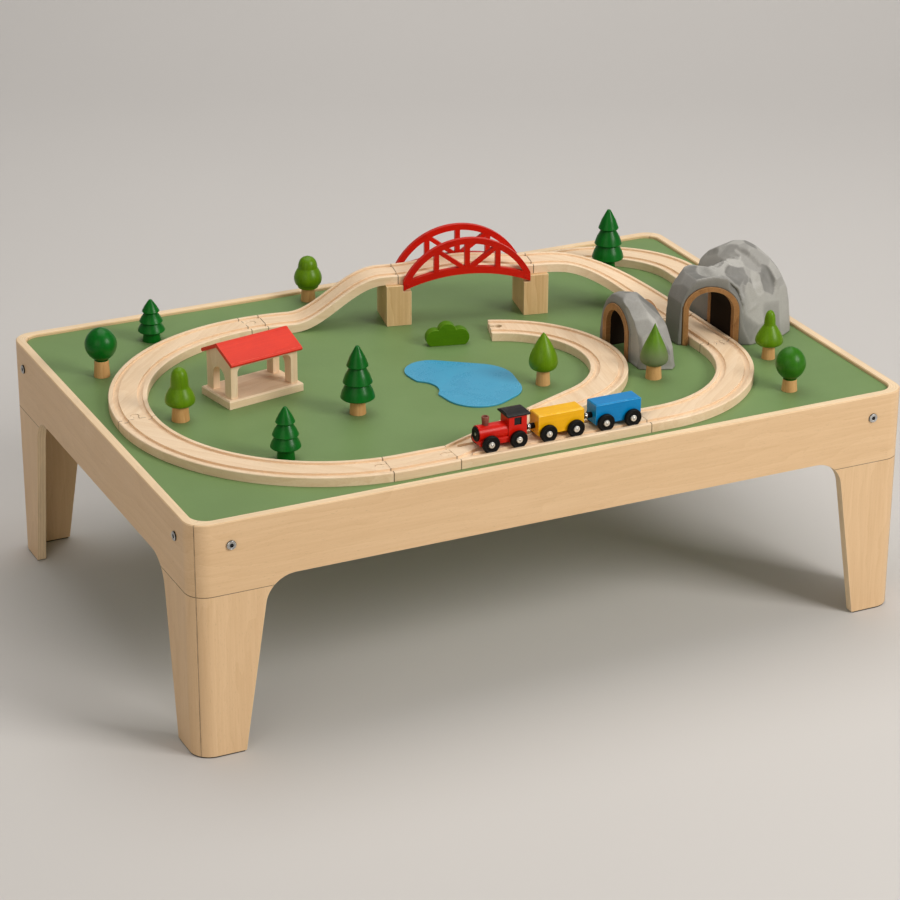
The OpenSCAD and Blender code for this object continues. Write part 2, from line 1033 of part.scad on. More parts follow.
module roof_face() {
    drop = roof_half * tan(roof_slope);
    lift = roof_t / cos(roof_slope);
    edge = roof_half + roof_t / 2 * sin(roof_slope);
    edge_drop = edge * tan(roof_slope);
    difference() {
        union() {
            polygon([
                [-roof_half, -drop], [0, 0], [roof_half, -drop], [roof_half, lift - drop],
                [0, lift], [-roof_half, lift - drop]
            ]);
            circle(ridge_r);
            for (s = [-1, 1])
                translate([s * roof_half, lift / 2 - drop])
                    circle(roof_t / 2 * cos(roof_slope));
        }
        polygon([[-edge, -edge_drop], [0, 0], [edge, -edge_drop], [0, -4 * roof_half]]);
    }
}

module station_roof() {
    color(roof_color)
        at_station()
            translate([-roof_l / 2, 0, base_h + gable_peak])
                rotate([90, 0, 90])
                    linear_extrude(roof_l)
                        roof_face();
}

// Mountain and cave

// Corners of a rock's foot, anticlockwise, seen from the rock's middle
mountain_foot = [
    [-63, -96], [-45, -104], [-10, -97], [30, -91], [54, -76], [66, -50], [66, 10],
    [66, 70], [55, 96], [5, 102], [-35, 96], [-58, 70], [-63, 20], [-64, -40]
];
ridge_foot = [[-66, -20], [-50, -38], [-10, -44], [40, -44], [62, -10], [55, 20], [0, 22], [-50, 20], [-64, 4]];
cave_foot = [
    [-45, 64], [-45, -58], [-6, -80], [22, -90], [48, -66], [62, -20], [58, 28], [36, 58], [0, 70]
];

// Levels of a rock: shares of its height and of its foot
mountain_levels = [
    [0, 1], [0.19, 0.985], [0.37, 0.945], [0.54, 0.88], [0.7, 0.77], [0.84, 0.58], [0.94, 0.32]
];
ridge_levels = [[0, 1], [0.5, 0.97], [0.75, 0.86], [0.88, 0.64], [0.95, 0.38]];
cave_levels = [[0, 1], [0.28, 0.96], [0.52, 0.86], [0.74, 0.66], [0.9, 0.4]];

// Outline of the rock round the tunnel, seen along the track
nose_outline = [
    [-48, 0], [52, 0], [50, 70], [42, 98], [22, 116], [2, 121], [-18, 117], [-34, 99], [-44, 73], [-47, 36]
];

// A fixed unevenness for the rock faces, none at the foot
function uneven(level, i) = level == 0 ? 1 : 1 + 0.035 * sin(137 * i + 83 * level) * min(1, level / 3);

// A carved rock: its foot shrinks level by level towards the peak
module rock(foot, mid, peak, levels, height) {
    m = len(foot);
    n = len(levels);
    points = concat(
        [
            for (k = [0:n - 1], i = [0:m - 1])
                let (
                    middle = mid + (peak - mid) * levels[k][0],
                    p = middle + foot[i] * levels[k][1] * uneven(k, i)
                )
                [p[0], p[1], height * (levels[k][0] + (k == 0 ? 0 : 0.012 * sin(211 * i + 59 * k)))]
        ],
        [[peak[0], peak[1], height]]
    );
    sides = [
        for (k = [0:n - 2], i = [0:m - 1], half = [0, 1])
            let (low = k * m, high = low + m, j = (i + 1) % m)
            half == 0 ? [low + i, high + i, high + j] : [low + i, high + j, low + j]
    ];
    cap = [for (i = [0:m - 1]) [(n - 1) * m + (i + 1) % m, (n - 1) * m + i, n * m]];
    polyhedron(points, concat([[for (i = [0:m - 1]) i]], sides, cap));
}

// An arch run along Y, or along X when turned
module arch_run_y(x, half, spring, from, to) {
    translate([x, to, 0])
        rotate([90, 0, 0])
            linear_extrude(to - from)
                arch_2d(half, spring);
}

module arch_run_x(y, half, spring, from, to) {
    translate([from, y, 0])
        rotate([90, 0, 90])
            linear_extrude(to - from)
                arch_2d(half, spring);
}

// A slab that lies behind the turned front of the tunnel
module front_slab(from, depth) {
    translate([portal_at[0], portal_at[1], 0])
        rotate([0, 0, -portal_turn])
            translate([-beyond, from, 0])
                cube([2 * beyond, depth, 2 * mountain_h]);
}

ring_proud = 1.5;
ring_seat = ring_t - ring_proud;

module mountain_rock() {
    color(rock_color)
        on_board()
            difference() {
                intersection() {
                    union() {
                        rock(mountain_foot, mountain_mid, peak_at, mountain_levels, mountain_h);
                        rock(ridge_foot, ridge_mid, ridge_at, ridge_levels, ridge_h);
                        translate([right_x, nose_end, 0])
                            rotate([90, 0, 0])
                                linear_extrude(nose_end - portal_at[1] + nose_spare)
                                    polygon(nose_outline);
                    }
                    front_slab(0, beyond);
                    translate([right_x - beyond, spur_face_y - beyond, 0])
                        cube([2 * beyond, beyond, 2 * mountain_h]);
                }
                arch_run_y(right_x, bore_half, bore_spring, portal_at[1] - 80, spur_face_y + 40);
                arch_run_y(spur_x, spur_half, spur_spring, spur_stop_y - 14, spur_face_y + 1);
                intersection() {
                    arch_run_y(right_x, bore_half + ring_w + ring_gap, bore_spring,
                               portal_at[1] - 80, nose_end);
                    translate([0, 0, -1])
                        front_slab(-40, 40 + ring_seat + ring_gap);
                }
                arch_run_y(right_x, bore_half + ring_w + ring_gap, bore_spring,
                           nose_end - ring_seat - ring_gap, nose_end + ring_proud + ring_gap);
                arch_run_y(spur_x, spur_half + spur_ring_w + ring_gap, spur_spring,
                           spur_face_y - ring_seat - ring_gap, spur_face_y + 1);
            }
}

module mountain_portals() {
    color(portal_color)
        on_board()
            intersection() {
                translate([right_x - beyond, nose_end - beyond, 0])
                    cube([2 * beyond, 2 * beyond, 2 * mountain_h]);
                union() {
                    intersection() {
                        difference() {
                            arch_run_y(right_x, bore_half + ring_w, bore_spring, portal_at[1] - 80, nose_end);
                            arch_run_y(right_x, bore_half, bore_spring, portal_at[1] - 81, nose_end + 1);
                        }
                        front_slab(-ring_proud, ring_t);
                    }
                    difference() {
                        arch_run_y(right_x, bore_half + ring_w, bore_spring,
                                   nose_end - ring_seat, nose_end + ring_proud);
                        arch_run_y(right_x, bore_half, bore_spring, nose_end - ring_t, nose_end + ring_t);
                    }
                    difference() {
                        arch_run_y(spur_x, spur_half + spur_ring_w, spur_spring,
                                   spur_face_y - ring_seat, spur_face_y + ring_proud);
                        arch_run_y(spur_x, spur_half, spur_spring,
                                   spur_face_y - ring_t, spur_face_y + ring_t);
                    }
                }
            }
}

module cave_rock() {
    color(rock_color)
        on_board()
            difference() {
                intersection() {
                    rock(cave_foot, cave_mid, cave_peak, cave_levels, cave_h);
                    translate([cave_x, cave_y - beyond, 0])
                        cube([cave_back_x - cave_x, 2 * beyond, 2 * cave_h]);
                }
                arch_run_x(cave_y, cave_half, cave_spring, cave_x - 1, cave_back_x + 1);
                arch_run_x(cave_y, cave_half + cave_ring_w + ring_gap, cave_spring,
                           cave_x - 1, cave_x + ring_seat + ring_gap);
                arch_run_x(cave_y, cave_half + spur_ring_w + ring_gap, cave_spring,
                           cave_back_x - ring_seat - ring_gap, cave_back_x + 1);
            }
}

module cave_portals() {
    color(portal_color)
        on_board()
            intersection() {
                translate([cave_x - beyond, cave_y - beyond, 0])
                    cube([2 * beyond, 2 * beyond, 2 * cave_h]);
                difference() {
                    union() {
                        arch_run_x(cave_y, cave_half + cave_ring_w, cave_spring,
                                   cave_x - ring_proud, cave_x + ring_seat);
                        arch_run_x(cave_y, cave_half + spur_ring_w, cave_spring,
                                   cave_back_x - ring_seat, cave_back_x + ring_proud);
                    }
                    arch_run_x(cave_y, cave_half, cave_spring, cave_x - 5, cave_back_x + 5);
                }
            }
}

// Pond and bush

// Round parts of the pond and the bay in its side, seen from the middle of the siding's bend
pond_lobes = [[-100, 55, 43], [-74, -58, 54], [-50, -46, 54], [-52, -5, 63]];
pond_notch = [-158, -8, 38];
pond_soft = 9;

module pond() {
    color(pond_color)
        on_board()
            translate([siding_c[0], siding_c[1], 0])
                linear_extrude(pond_t)
                    offset(r = -pond_soft)
                        offset(r = 2 * pond_soft)
                            offset(r = -pond_soft)
                                difference() {
                                    hull()
                                        for (lobe = pond_lobes)
                                            translate([lobe[0], lobe[1]])
                                                circle(lobe[2]);
                                    translate([pond_notch[0], pond_notch[1]])
                                        circle(pond_notch[2]);
                                }
}

bush_at = siding_c + [-27, 152];
bush_turn = -14;
bush_t = 16;
bush_lobes = [[0, 23, 15], [-20, 13, 15], [21, 13, 15.5]];

module bush() {
    color(light_leaf)
        on_board()
            translate([bush_at[0], bush_at[1], 0])
                rotate([90, 0, bush_turn])
                    linear_extrude(bush_t, center = true)
                        intersection() {
                            union() {
                                for (lobe = bush_lobes)
                                    translate([lobe[0], lobe[1]])
                                        circle(lobe[2]);
                                translate([-20, 0])
                                    square([41, 20]);
                            }
                            translate([-60, 0])
                                square([120, 60]);
                        }
}

// Trees

crown_steps = 20;

// A place beside a bend: outside it at a gap above 0 from the track's edge, inside it below 0
function beside(center, radius, angle, gap) = on_bend(center, radius + sign(gap) * track_w / 2 + gap, angle);

// Half width of a crown's skirt at a height from 0 to 1: belly moves the widest place, fullness rounds it
function skirt_width(t, belly, fullness) = t < 1 ? pow(sin(180 * pow(t, belly)), fullness) : 0;

// A skirt that ends at a share of the height, with a dome that stands out of it where dome is above 0
function crown_width(t, belly, fullness, skirt, dome) =
    max(skirt_width(t / skirt, belly, fullness), dome * sqrt(1 - pow(t, 7)));

module trunk(height, width) {
    rotate_extrude()
        polygon([[0, 0], [width / 2, 0], [width / 2, 1], [width / 2 * 0.86, height], [0, height]]);
}

module smooth_tree(at, height, crown_d, trunk_h, trunk_d, belly, fullness, leaf, skirt = 1, dome = 0) {
    crown_h = height - trunk_h;
    translate([at[0], at[1], board_top])
        scale(tree_scale) {
            color(trunk_color)
                trunk(trunk_h, trunk_d);
            color(leaf)
                translate([0, 0, trunk_h])
                    rotate_extrude()
                        polygon(concat(
                            [[0, 0]],
                            [
                                for (i = [0:crown_steps - 1])
                                    let (t = 0.03 + 0.965 * i / (crown_steps - 1))
                                    [
                                        crown_d / 2 * crown_width(t, belly, fullness, skirt, dome),
                                        crown_h * (t - 0.03)
                                    ]
                            ],
                            [[0, crown_h * 0.97]]
                        ));
        }
}

// Three tiers, each a cone with a rounded lower edge; shares of the height and of the width
spruce_tiers = [[0.23, 1, 0.45, 0.66], [0.45, 0.86, 0.69, 0.44], [0.69, 0.64, 0.985, 0.12]];
tier_lip = 2;
// How far a tier swells out half way up
tier_swell = 0.06;

module spruce(at, height, width, trunk_d, trunk_tint, leaf) {
    half = width / 2;
    trunk_h = spruce_tiers[0][0] * height;
    translate([at[0], at[1], board_top])
        scale(tree_scale) {
            color(trunk_tint)
                trunk(trunk_h, trunk_d);
            color(leaf)
                rotate_extrude()
                    polygon(concat(
                        [[0, trunk_h]],
                        [
                            for (tier = spruce_tiers)
                                each [
                                    [half * tier[1] - tier_lip, height * tier[0]],
                                    [half * tier[1], height * tier[0] + tier_lip],
                                    [
                                        half * ((tier[1] + tier[3]) / 2 + tier_swell),
                                        height * (tier[0] + tier[2]) / 2
                                    ],
                                    [half * tier[3], height * tier[2]]
                                ]
                        ],
                        [[0, height]]
                    ));
        }
}

module tree_ball_left() {
    smooth_tree(beside(loop_c, loop_r, 141.4, 29.8), 83.5, 51, 28, 26, 1, 0.5, dark_leaf);
}

module tree_spruce_back_left() {
    spruce(beside(loop_c, loop_r, 115.6, 38.8), 71.5, 45, 30, dark_leaf, dark_leaf);
}

module tree_round_back() {
    smooth_tree(beside(loop_c, loop_r, 70.6, 85), 80.5, 47, 24, 25, 0.7, 0.55, light_leaf, 0.84, 0.72);
}

module tree_bell_left() {
    smooth_tree(beside(loop_c, loop_r, 177.3, -39.7), 89, 47, 26, 28, 0.45, 0.62, light_leaf, 0.7, 0.6);
}

module tree_spruce_front_left() {
    spruce(beside(loop_c, loop_r, 232.6, -34.2), 85.5, 47, 28, dark_leaf, dark_leaf);
}

module tree_spruce_middle() {
    spruce(loop_c + [20, -79], 112.5, 54, 26, trunk_color, dark_leaf);
}

module tree_egg_middle() {
    smooth_tree(siding_c + [38, -64], 89.5, 46, 25, 23, 0.48, 0.8, light_leaf);
}

module tree_spruce_back_right() {
    spruce(spur_c + [41, 75], 115, 55, 28, dark_leaf, dark_leaf);
}

module tree_cone_cave() {
    smooth_tree(beside(siding_c, siding_r, -28.6, 40), 95, 45, 24, 26, 0.4, 1, light_leaf);
}

module tree_cone_right() {
    smooth_tree(beside(bend_c, bend_r, -13.5, 36), 84.5, 45, 24, 22, 0.42, 0.8, light_leaf, 0.78, 0.42);
}

module tree_ball_right() {
    smooth_tree(beside(bend_c, bend_r, -39.2, 58.5), 74.5, 48, 20, 25, 1, 0.5, dark_leaf);
}

// Train

// A block with its edges cut along X and along Y, resting on z = 0
module cut_block(l, w, h, cut) {
    intersection() {
        rotate([90, 0, 0])
            translate([0, 0, -w / 2])
                linear_extrude(w)
                    polygon([
                        [cut - l / 2, 0], [l / 2 - cut, 0], [l / 2, cut], [l / 2, h - cut],
                        [l / 2 - cut, h], [cut - l / 2, h], [-l / 2, h - cut], [-l / 2, cut]
                    ]);
        rotate([90, 0, 90])
            translate([0, 0, -l / 2])
                linear_extrude(l)
                    polygon([
                        [cut - w / 2, 0], [w / 2 - cut, 0], [w / 2, cut], [w / 2, h - cut],
                        [w / 2 - cut, h], [cut - w / 2, h], [-w / 2, h - cut], [-w / 2, cut]
                    ]);
    }
}

module axle_bores(x) {
    for (s = [-1, 1])
        translate([x + s * wheelbase / 2, front_y + wagon_w, axle_z])
            rotate([90, 0, 0])
                cylinder(d = axle_d + 2 * axle_fit, h = 2 * wagon_w);
}

module wagon(x) {
    difference() {
        translate([x, front_y, body_z])
            cut_block(wagon_l, wagon_w, wagon_h, body_cut);
        axle_bores(x);
    }
}

module yellow_wagon() {
    color(yellow_color)
        wagon(yellow_x);
}

module blue_wagon() {
    color(blue_color)
        wagon(blue_x);
}

// A black stub with a magnet, pointing along +X or -X
module coupler(x, side, reach) {
    translate([x, front_y, coupler_z])
        rotate([0, 90 * side, 0]) {
            color(black_color)
                cylinder(d = coupler_d, h = reach - magnet_t, $fn = 40);
            color(steel_color)
                translate([0, 0, reach - magnet_t - eps])
                    cylinder(d = magnet_d, h = magnet_t, $fn = 40);
        }
}

// Half of the gap between two vehicles, less the play between the magnets
function half_gap(front_x, front_l, rear_x, rear_l) =
    (rear_x - front_x - front_l / 2 - rear_l / 2) / 2 - fit / 2;

module loco_coupler() {
    coupler(loco_x + loco_l / 2, 1, half_gap(loco_x, loco_l, yellow_x, wagon_l));
}

module yellow_couplers() {
    coupler(yellow_x - wagon_l / 2, -1, half_gap(loco_x, loco_l, yellow_x, wagon_l));
    coupler(yellow_x + wagon_l / 2, 1, half_gap(yellow_x, wagon_l, blue_x, wagon_l));
}

module blue_couplers() {
    coupler(blue_x - wagon_l / 2, -1, half_gap(yellow_x, wagon_l, blue_x, wagon_l));
}

module boiler(radius, from, to) {
    translate([from, front_y, boiler_z])
        rotate([0, 90, 0])
            cylinder(r = radius, h = to - from);
}

module loco_body() {
    front = loco_x - loco_l / 2;
    rear = loco_x + loco_l / 2;
    cab_x = rear - cab_l / 2;
    color(red_color)
        difference() {
            union() {
                translate([loco_x, front_y, body_z])
                    cut_block(loco_l, loco_w, frame_h, body_cut);
                boiler(boiler_r, front, rear - cab_l + 1);
                translate([cab_x, front_y, body_z])
                    cut_block(cab_l, loco_w, cab_top - body_z, body_cut / 2);
            }
            axle_bores(loco_x);
            for (side = [-1, 1])
                translate([cab_x, front_y + side * loco_w / 2, cab_top - 3 - window_w / 2])
                    cube([window_w, 2 * window_depth, window_w], center = true);
        }
}

module loco_roof() {
    l = cab_l + 8;
    w = loco_w + 8;
    color(black_color)
        translate([loco_x + loco_l / 2 - cab_l / 2, front_y, cab_top])
            intersection() {
                rotate([90, 0, 0])
                    translate([0, 0, -w / 2])
                        linear_extrude(w)
                            polygon([
                                [-l / 2, 0], [l / 2, 0], [l / 2, cab_roof_t - 2], [l / 2 - 2, cab_roof_t],
                                [2 - l / 2, cab_roof_t], [-l / 2, cab_roof_t - 2]
                            ]);
                rotate([90, 0, 90])
                    translate([0, 0, -l / 2])
                        linear_extrude(l)
                            polygon([
                                [-w / 2, 0], [w / 2, 0], [w / 2, cab_roof_t - 2.5], [w / 4, cab_roof_t],
                                [-w / 4, cab_roof_t], [-w / 2, cab_roof_t - 2.5]
                            ]);
            }
}

module loco_fittings() {
    front = loco_x - loco_l / 2;
    r = funnel_d / 2;
    top = funnel_top - boiler_z;
    color(black_color)
        translate([front, front_y, boiler_z])
            rotate([0, -90, 0])
                rotate_extrude()
                    polygon([[0, 0], [11.5, 0], [11.5, 1.5], [10.5, 2.5], [8, 2.5], [7.5, 1.5], [0, 1.5]]);
    color(funnel_color)
        difference() {
            translate([funnel_x, front_y, boiler_z])
                rotate_extrude()
                    polygon([
                        [0, 0], [r - 1, 0], [r - 1, boiler_r + 2], [r, top - 1], [r - 0.6, top],
                        [r - 2.2, top], [r - 2.6, top - 2], [0, top - 2]
                    ]);
            boiler(boiler_r, front, front + 60);
        }
    loco_coupler();
}

// Two dished wheels with hub caps, pressed on an axle
module wheelset(x) {
    r = wheel_d / 2;
    translate([x, front_y, axle_z]) {
        color(steel_color)
            rotate([90, 0, 0])
                cylinder(d = axle_d, h = 2 * wheel_in + 2, center = true, $fn = 40);
        for (side = [-1, 1])
            translate([0, side * wheel_in, 0])
                rotate([-90 * side, 0, 0]) {
                    color(black_color)
                        rotate_extrude()
                            polygon([
                                [0, 0], [r - 1, 0], [r, 1], [r, wheel_t - 1.2], [r - 1.2, wheel_t],
                                [r - 3, wheel_t], [r - 4, wheel_t - 1], [0, wheel_t - 1]
                            ]);
                    color(steel_color)
                        translate([0, 0, wheel_t - 1 - eps])
                            rotate_extrude()
                                polygon([
                                    [0, 0], [hub_d / 2, 0], [hub_d / 2, hub_t],
                                    [hub_d / 2 - 1, hub_t + 0.6], [0, hub_t + 0.6]
                                ]);
                }
    }
}

module wheelset_loco_front() { wheelset(loco_x - wheelbase / 2); }

module wheelset_loco_rear() { wheelset(loco_x + wheelbase / 2); }

module wheelset_yellow_front() { wheelset(yellow_x - wheelbase / 2); }

module wheelset_yellow_rear() { wheelset(yellow_x + wheelbase / 2); }

module wheelset_blue_front() { wheelset(blue_x - wheelbase / 2); }

module wheelset_blue_rear() { wheelset(blue_x + wheelbase / 2); }

play_board();
rail_front();
rail_back();
rail_left();
rail_right();
leg_front_left();
leg_front_right();
leg_back_left();
leg_back_right();
corner_blocks();
rail_bolts();
board_battens();
foot_pads();
straight_left();
curve_left_front();
curve_left_back();
joint_back();
ramp_left();
bridge_deck();
ramp_right();
straight_tunnel();
curve_right();
switch_front();
siding();
spur();
bridge_arches();
bridge_piers();
station_base();
station_gables();
station_roof();
mountain_rock();
mountain_portals();
cave_rock();
cave_portals();
pond();
bush();
tree_ball_left();
tree_spruce_back_left();
tree_round_back();
tree_bell_left();
tree_spruce_front_left();
tree_spruce_middle();
tree_egg_middle();
tree_spruce_back_right();
tree_cone_cave();
tree_cone_right();
tree_ball_right();
loco_body();
loco_roof();
loco_fittings();
yellow_wagon();
yellow_couplers();
blue_wagon();
blue_couplers();
wheelset_loco_front();
wheelset_loco_rear();
wheelset_yellow_front();
wheelset_yellow_rear();
wheelset_blue_front();
wheelset_blue_rear();
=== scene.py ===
"""Looks of a children's train table: timber, paint, carved rock, studio light and camera.

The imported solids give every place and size. Each solid that shows gets a copy with softly
broken edges, grain that runs the way the timber was cut, and a finish of its own.
"""

from __future__ import annotations

import json
import logging
import math
from dataclasses import dataclass, field
from enum import Enum
from functools import partial
from typing import Callable, Optional, Sequence, Union

import bmesh
import bpy
import numpy as np
from mathutils import Euler, Matrix, Vector
from mathutils.bvhtree import BVHTree

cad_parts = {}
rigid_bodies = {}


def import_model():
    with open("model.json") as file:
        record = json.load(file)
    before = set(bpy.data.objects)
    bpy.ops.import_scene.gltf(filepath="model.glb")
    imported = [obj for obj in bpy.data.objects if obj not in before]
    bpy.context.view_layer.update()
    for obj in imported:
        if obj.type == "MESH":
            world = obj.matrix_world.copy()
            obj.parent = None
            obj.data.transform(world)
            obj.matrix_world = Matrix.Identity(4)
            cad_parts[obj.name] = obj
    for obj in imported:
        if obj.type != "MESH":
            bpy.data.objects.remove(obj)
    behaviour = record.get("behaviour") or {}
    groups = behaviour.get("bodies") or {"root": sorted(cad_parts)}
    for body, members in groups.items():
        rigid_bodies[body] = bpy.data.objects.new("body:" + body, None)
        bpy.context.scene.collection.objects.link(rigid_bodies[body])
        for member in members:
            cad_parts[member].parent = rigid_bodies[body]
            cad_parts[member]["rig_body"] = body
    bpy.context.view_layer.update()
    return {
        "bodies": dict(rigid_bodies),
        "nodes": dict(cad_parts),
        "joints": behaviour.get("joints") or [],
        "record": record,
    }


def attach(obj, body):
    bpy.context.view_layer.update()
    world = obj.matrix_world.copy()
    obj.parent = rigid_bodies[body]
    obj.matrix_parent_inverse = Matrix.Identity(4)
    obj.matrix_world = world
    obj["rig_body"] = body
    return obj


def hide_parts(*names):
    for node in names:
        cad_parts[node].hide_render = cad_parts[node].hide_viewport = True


LOG = logging.getLogger("train_table")

Colour = tuple[float, float, float]
Point = tuple[float, float, float]
Socketlike = Union[bpy.types.NodeSocket, float, int, Sequence[float]]
Chooser = Callable[[Vector, Vector], int]

# Sizes in metres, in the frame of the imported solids.
BOARD_TOP = 0.371
HALF_LENGTH = 0.600
HALF_WIDTH = 0.406
WELD_REACH = 1.5e-5
SLIVER = 1.0e-5
SEAM_REACH = 0.0004
SEAM_WIDTH = 0.0007

# Angles in degrees.
FLAT_WITHIN = 0.6
SHADED_SHARP = 38.0
STUD_SHARP = 30.0


def srgb(red: int, green: int, blue: int) -> Colour:
    """Turns a colour of 0 to 255 into the linear values that shaders use.

    Args:
        red: Red as seen on screen.
        green: Green as seen on screen.
        blue: Blue as seen on screen.

    Returns:
        The linear colour.
    """

    def linear(value: int) -> float:
        """Undoes the screen's curve for one channel."""
        share = value / 255.0
        return share / 12.92 if share <= 0.04045 else ((share + 0.055) / 1.055) ** 2.4

    return linear(red), linear(green), linear(blue)


def scaled(colour: Colour, share: float) -> Colour:
    """Makes a colour lighter or darker."""
    return tuple(channel * share for channel in colour)


class Grain(Enum):
    """The way the timber of a piece was cut."""

    LENGTHWISE = "along the piece in plan"
    ALONG_X = "along X"
    ALONG_Y = "along Y"
    UPRIGHT = "upright"


class Socket(Enum):
    """The kinds of socket on the node groups."""

    VALUE = "NodeSocketFloat"
    COUNT = "NodeSocketInt"
    VECTOR = "NodeSocketVector"
    MESH = "NodeSocketGeometry"
    FINISH = "NodeSocketMaterial"


class Graph:
    """A node tree with short calls for the nodes that the finishes use."""

    def __init__(self, tree: bpy.types.NodeTree) -> None:
        """Takes the tree that the nodes go into."""
        self.tree = tree

    def add(self, kind: str, **props: object) -> bpy.types.Node:
        """Adds a node.

        Args:
            kind: The node's type name.
            props: Properties to set on it.

        Returns:
            The new node.
        """
        node = self.tree.nodes.new(kind)
        for key, value in props.items():
            setattr(node, key, value)
        return node

    def put(self, socket: bpy.types.NodeSocket, value: Socketlike) -> None:
        """Links a socket or sets its value.

        Args:
            socket: The socket that takes the value.
            value: Another socket, or a plain value.
        """
        if isinstance(value, bpy.types.NodeSocket):
            self.tree.links.new(value, socket)
        elif isinstance(value, (tuple, list)) and len(value) == 3 and socket.type == "RGBA":
            socket.default_value = (*value, 1.0)
        else:
            socket.default_value = value

    def math(
        self,
        operation: str,
        a: Socketlike,
        b: Socketlike = 0.0,
        clamp: bool = False,
    ) -> bpy.types.NodeSocket:
        """Adds a Math node.

        Args:
            operation: Name of the operation.
            a: First value.
            b: Second value.
            clamp: Keeps the result between 0 and 1.

        Returns:
            The result's socket.
        """
        node = self.add("ShaderNodeMath", operation=operation, use_clamp=clamp)
        self.put(node.inputs[0], a)
        self.put(node.inputs[1], b)
        return node.outputs[0]

    def vector(
        self,
        operation: str,
        a: Socketlike,
        b: Socketlike = (0.0, 0.0, 0.0),
        scale: Socketlike = 1.0,
    ) -> bpy.types.NodeSocket:
        """Adds a Vector Math node.

        Args:
            operation: Name of the operation.
            a: First vector.
            b: Second vector.
            scale: Factor of a SCALE operation.

        Returns:
            The result's socket.
        """
        node = self.add("ShaderNodeVectorMath", operation=operation)
        self.put(node.inputs[0], a)
        self.put(node.inputs[1], b)
        if operation == "SCALE":
            self.put(node.inputs["Scale"], scale)
        return node.outputs["Value"] if operation in ("DOT_PRODUCT", "LENGTH") else node.outputs[0]

    def blend(self, a: Socketlike, share_a: float, b: Socketlike, share_b: float) -> bpy.types.NodeSocket:
        """Adds two values, each by its own share.

        Args:
            a: First value.
            share_a: Its share.
            b: Second value.
            share_b: Its share.

        Returns:
            The sum's socket.
        """
        return self.math("ADD", self.math("MULTIPLY", a, share_a), self.math("MULTIPLY", b, share_b))

    def band(
        self,
        value: Socketlike,
        low: float,
        high: float,
        to_low: float = 0.0,
        to_high: float = 1.0,
    ) -> bpy.types.NodeSocket:
        """Maps one range of values smoothly to another.

        Args:
            value: The value to map.
            low: Where the range starts.
            high: Where it ends.
            to_low: The result at the start.
            to_high: The result at the end.

        Returns:
            The mapped value's socket.
        """
        node = self.add("ShaderNodeMapRange", interpolation_type="SMOOTHSTEP")
        self.put(node.inputs["Value"], value)
        node.inputs["From Min"].default_value = low
        node.inputs["From Max"].default_value = high
        node.inputs["To Min"].default_value = to_low
        node.inputs["To Max"].default_value = to_high
        return node.outputs["Result"]

    def height_of(self, place: Socketlike) -> bpy.types.NodeSocket:
        """Gives the height of a place.

        Args:
            place: The socket of the coordinates.

        Returns:
            The height's socket.
        """
        split = self.add("ShaderNodeSeparateXYZ")
        self.put(split.inputs[0], place)
        return split.outputs[2]

    def mix(
        self,
        share: Socketlike,
        a: Socketlike,
        b: Socketlike,
        blend: str = "MIX",
    ) -> bpy.types.NodeSocket:
        """Mixes two colours.

        Args:
            share: How much of the second colour shows.
            a: First colour.
            b: Second colour.
            blend: How they mix.

        Returns:
            The mixed colour's socket.
        """
        node = self.add("ShaderNodeMix", data_type="RGBA", blend_type=blend)
        self.put(node.inputs[0], share)
        self.put(node.inputs[6], a)
        self.put(node.inputs[7], b)
        return node.outputs[2]

    def noise(
        self,
        place: Socketlike,
        scale: float,
        detail: float = 2.0,
        rough: float = 0.5,
        warp: float = 0.0,
    ) -> bpy.types.NodeSocket:
        """Adds a Noise texture.

        Args:
            place: Coordinates.
            scale: Waves in a unit of the coordinates.
            detail: Number of finer layers.
            rough: Strength of the finer layers.
            warp: How far the pattern is bent by itself.

        Returns:
            The value's socket.
        """
        node = self.add("ShaderNodeTexNoise")
        self.put(node.inputs["Vector"], place)
        node.inputs["Scale"].default_value = scale
        node.inputs["Detail"].default_value = detail
        node.inputs["Roughness"].default_value = rough
        node.inputs["Distortion"].default_value = warp
        return node.outputs["Fac"]

    def attribute(self, name: str, output: str = "Fac") -> bpy.types.NodeSocket:
        """Reads an attribute of the mesh."""
        return self.add("ShaderNodeAttribute", attribute_name=name).outputs[output]

    def place(self) -> bpy.types.NodeSocket:
        """Gives the Object coordinates."""
        return self.add("ShaderNodeTexCoord").outputs["Object"]

    def use(self, group: bpy.types.NodeTree, **values: Socketlike) -> bpy.types.Node:
        """Places a shader group.

        Args:
            group: The group's tree.
            values: Its inputs, with underscores for spaces.

        Returns:
            The group's node.
        """
        node = self.add("ShaderNodeGroup", node_tree=group)
        for key, value in values.items():
            self.put(node.inputs[key.replace("_", " ")], value)
        return node


class ShaderGroup:
    """A shared effect, built once as a shader node group."""

    name: str = "effect"
    inputs: dict[str, tuple[Socket, object]] = {}
    outputs: dict[str, Socket] = {}

    def tree(self) -> bpy.types.NodeTree:
        """Gives the group's tree, and builds it on first use.

        Returns:
            The shader node group.
        """
        found = bpy.data.node_groups.get(self.name)
        if found is not None:
            return found
        tree = bpy.data.node_groups.new(self.name, "ShaderNodeTree")
        for label, (kind, value) in self.inputs.items():
            socket = tree.interface.new_socket(label, in_out="INPUT", socket_type=kind.value)
            if value is not None:
                socket.default_value = value
        for label, kind in self.outputs.items():
            tree.interface.new_socket(label, in_out="OUTPUT", socket_type=kind.value)
        graph = Graph(tree)
        entry = graph.add("NodeGroupInput").outputs
        exit_node = graph.add("NodeGroupOutput")
        self.wire(graph, entry, exit_node.inputs)
        return tree

    def wire(self, graph: Graph, entry: bpy.types.NodeOutputs, leave: bpy.types.NodeInputs) -> None:
        """Builds the nodes between the group's inputs and outputs.

        Args:
            graph: The group's graph.
            entry: Its inputs.
            leave: Its outputs.
        """
        raise NotImplementedError


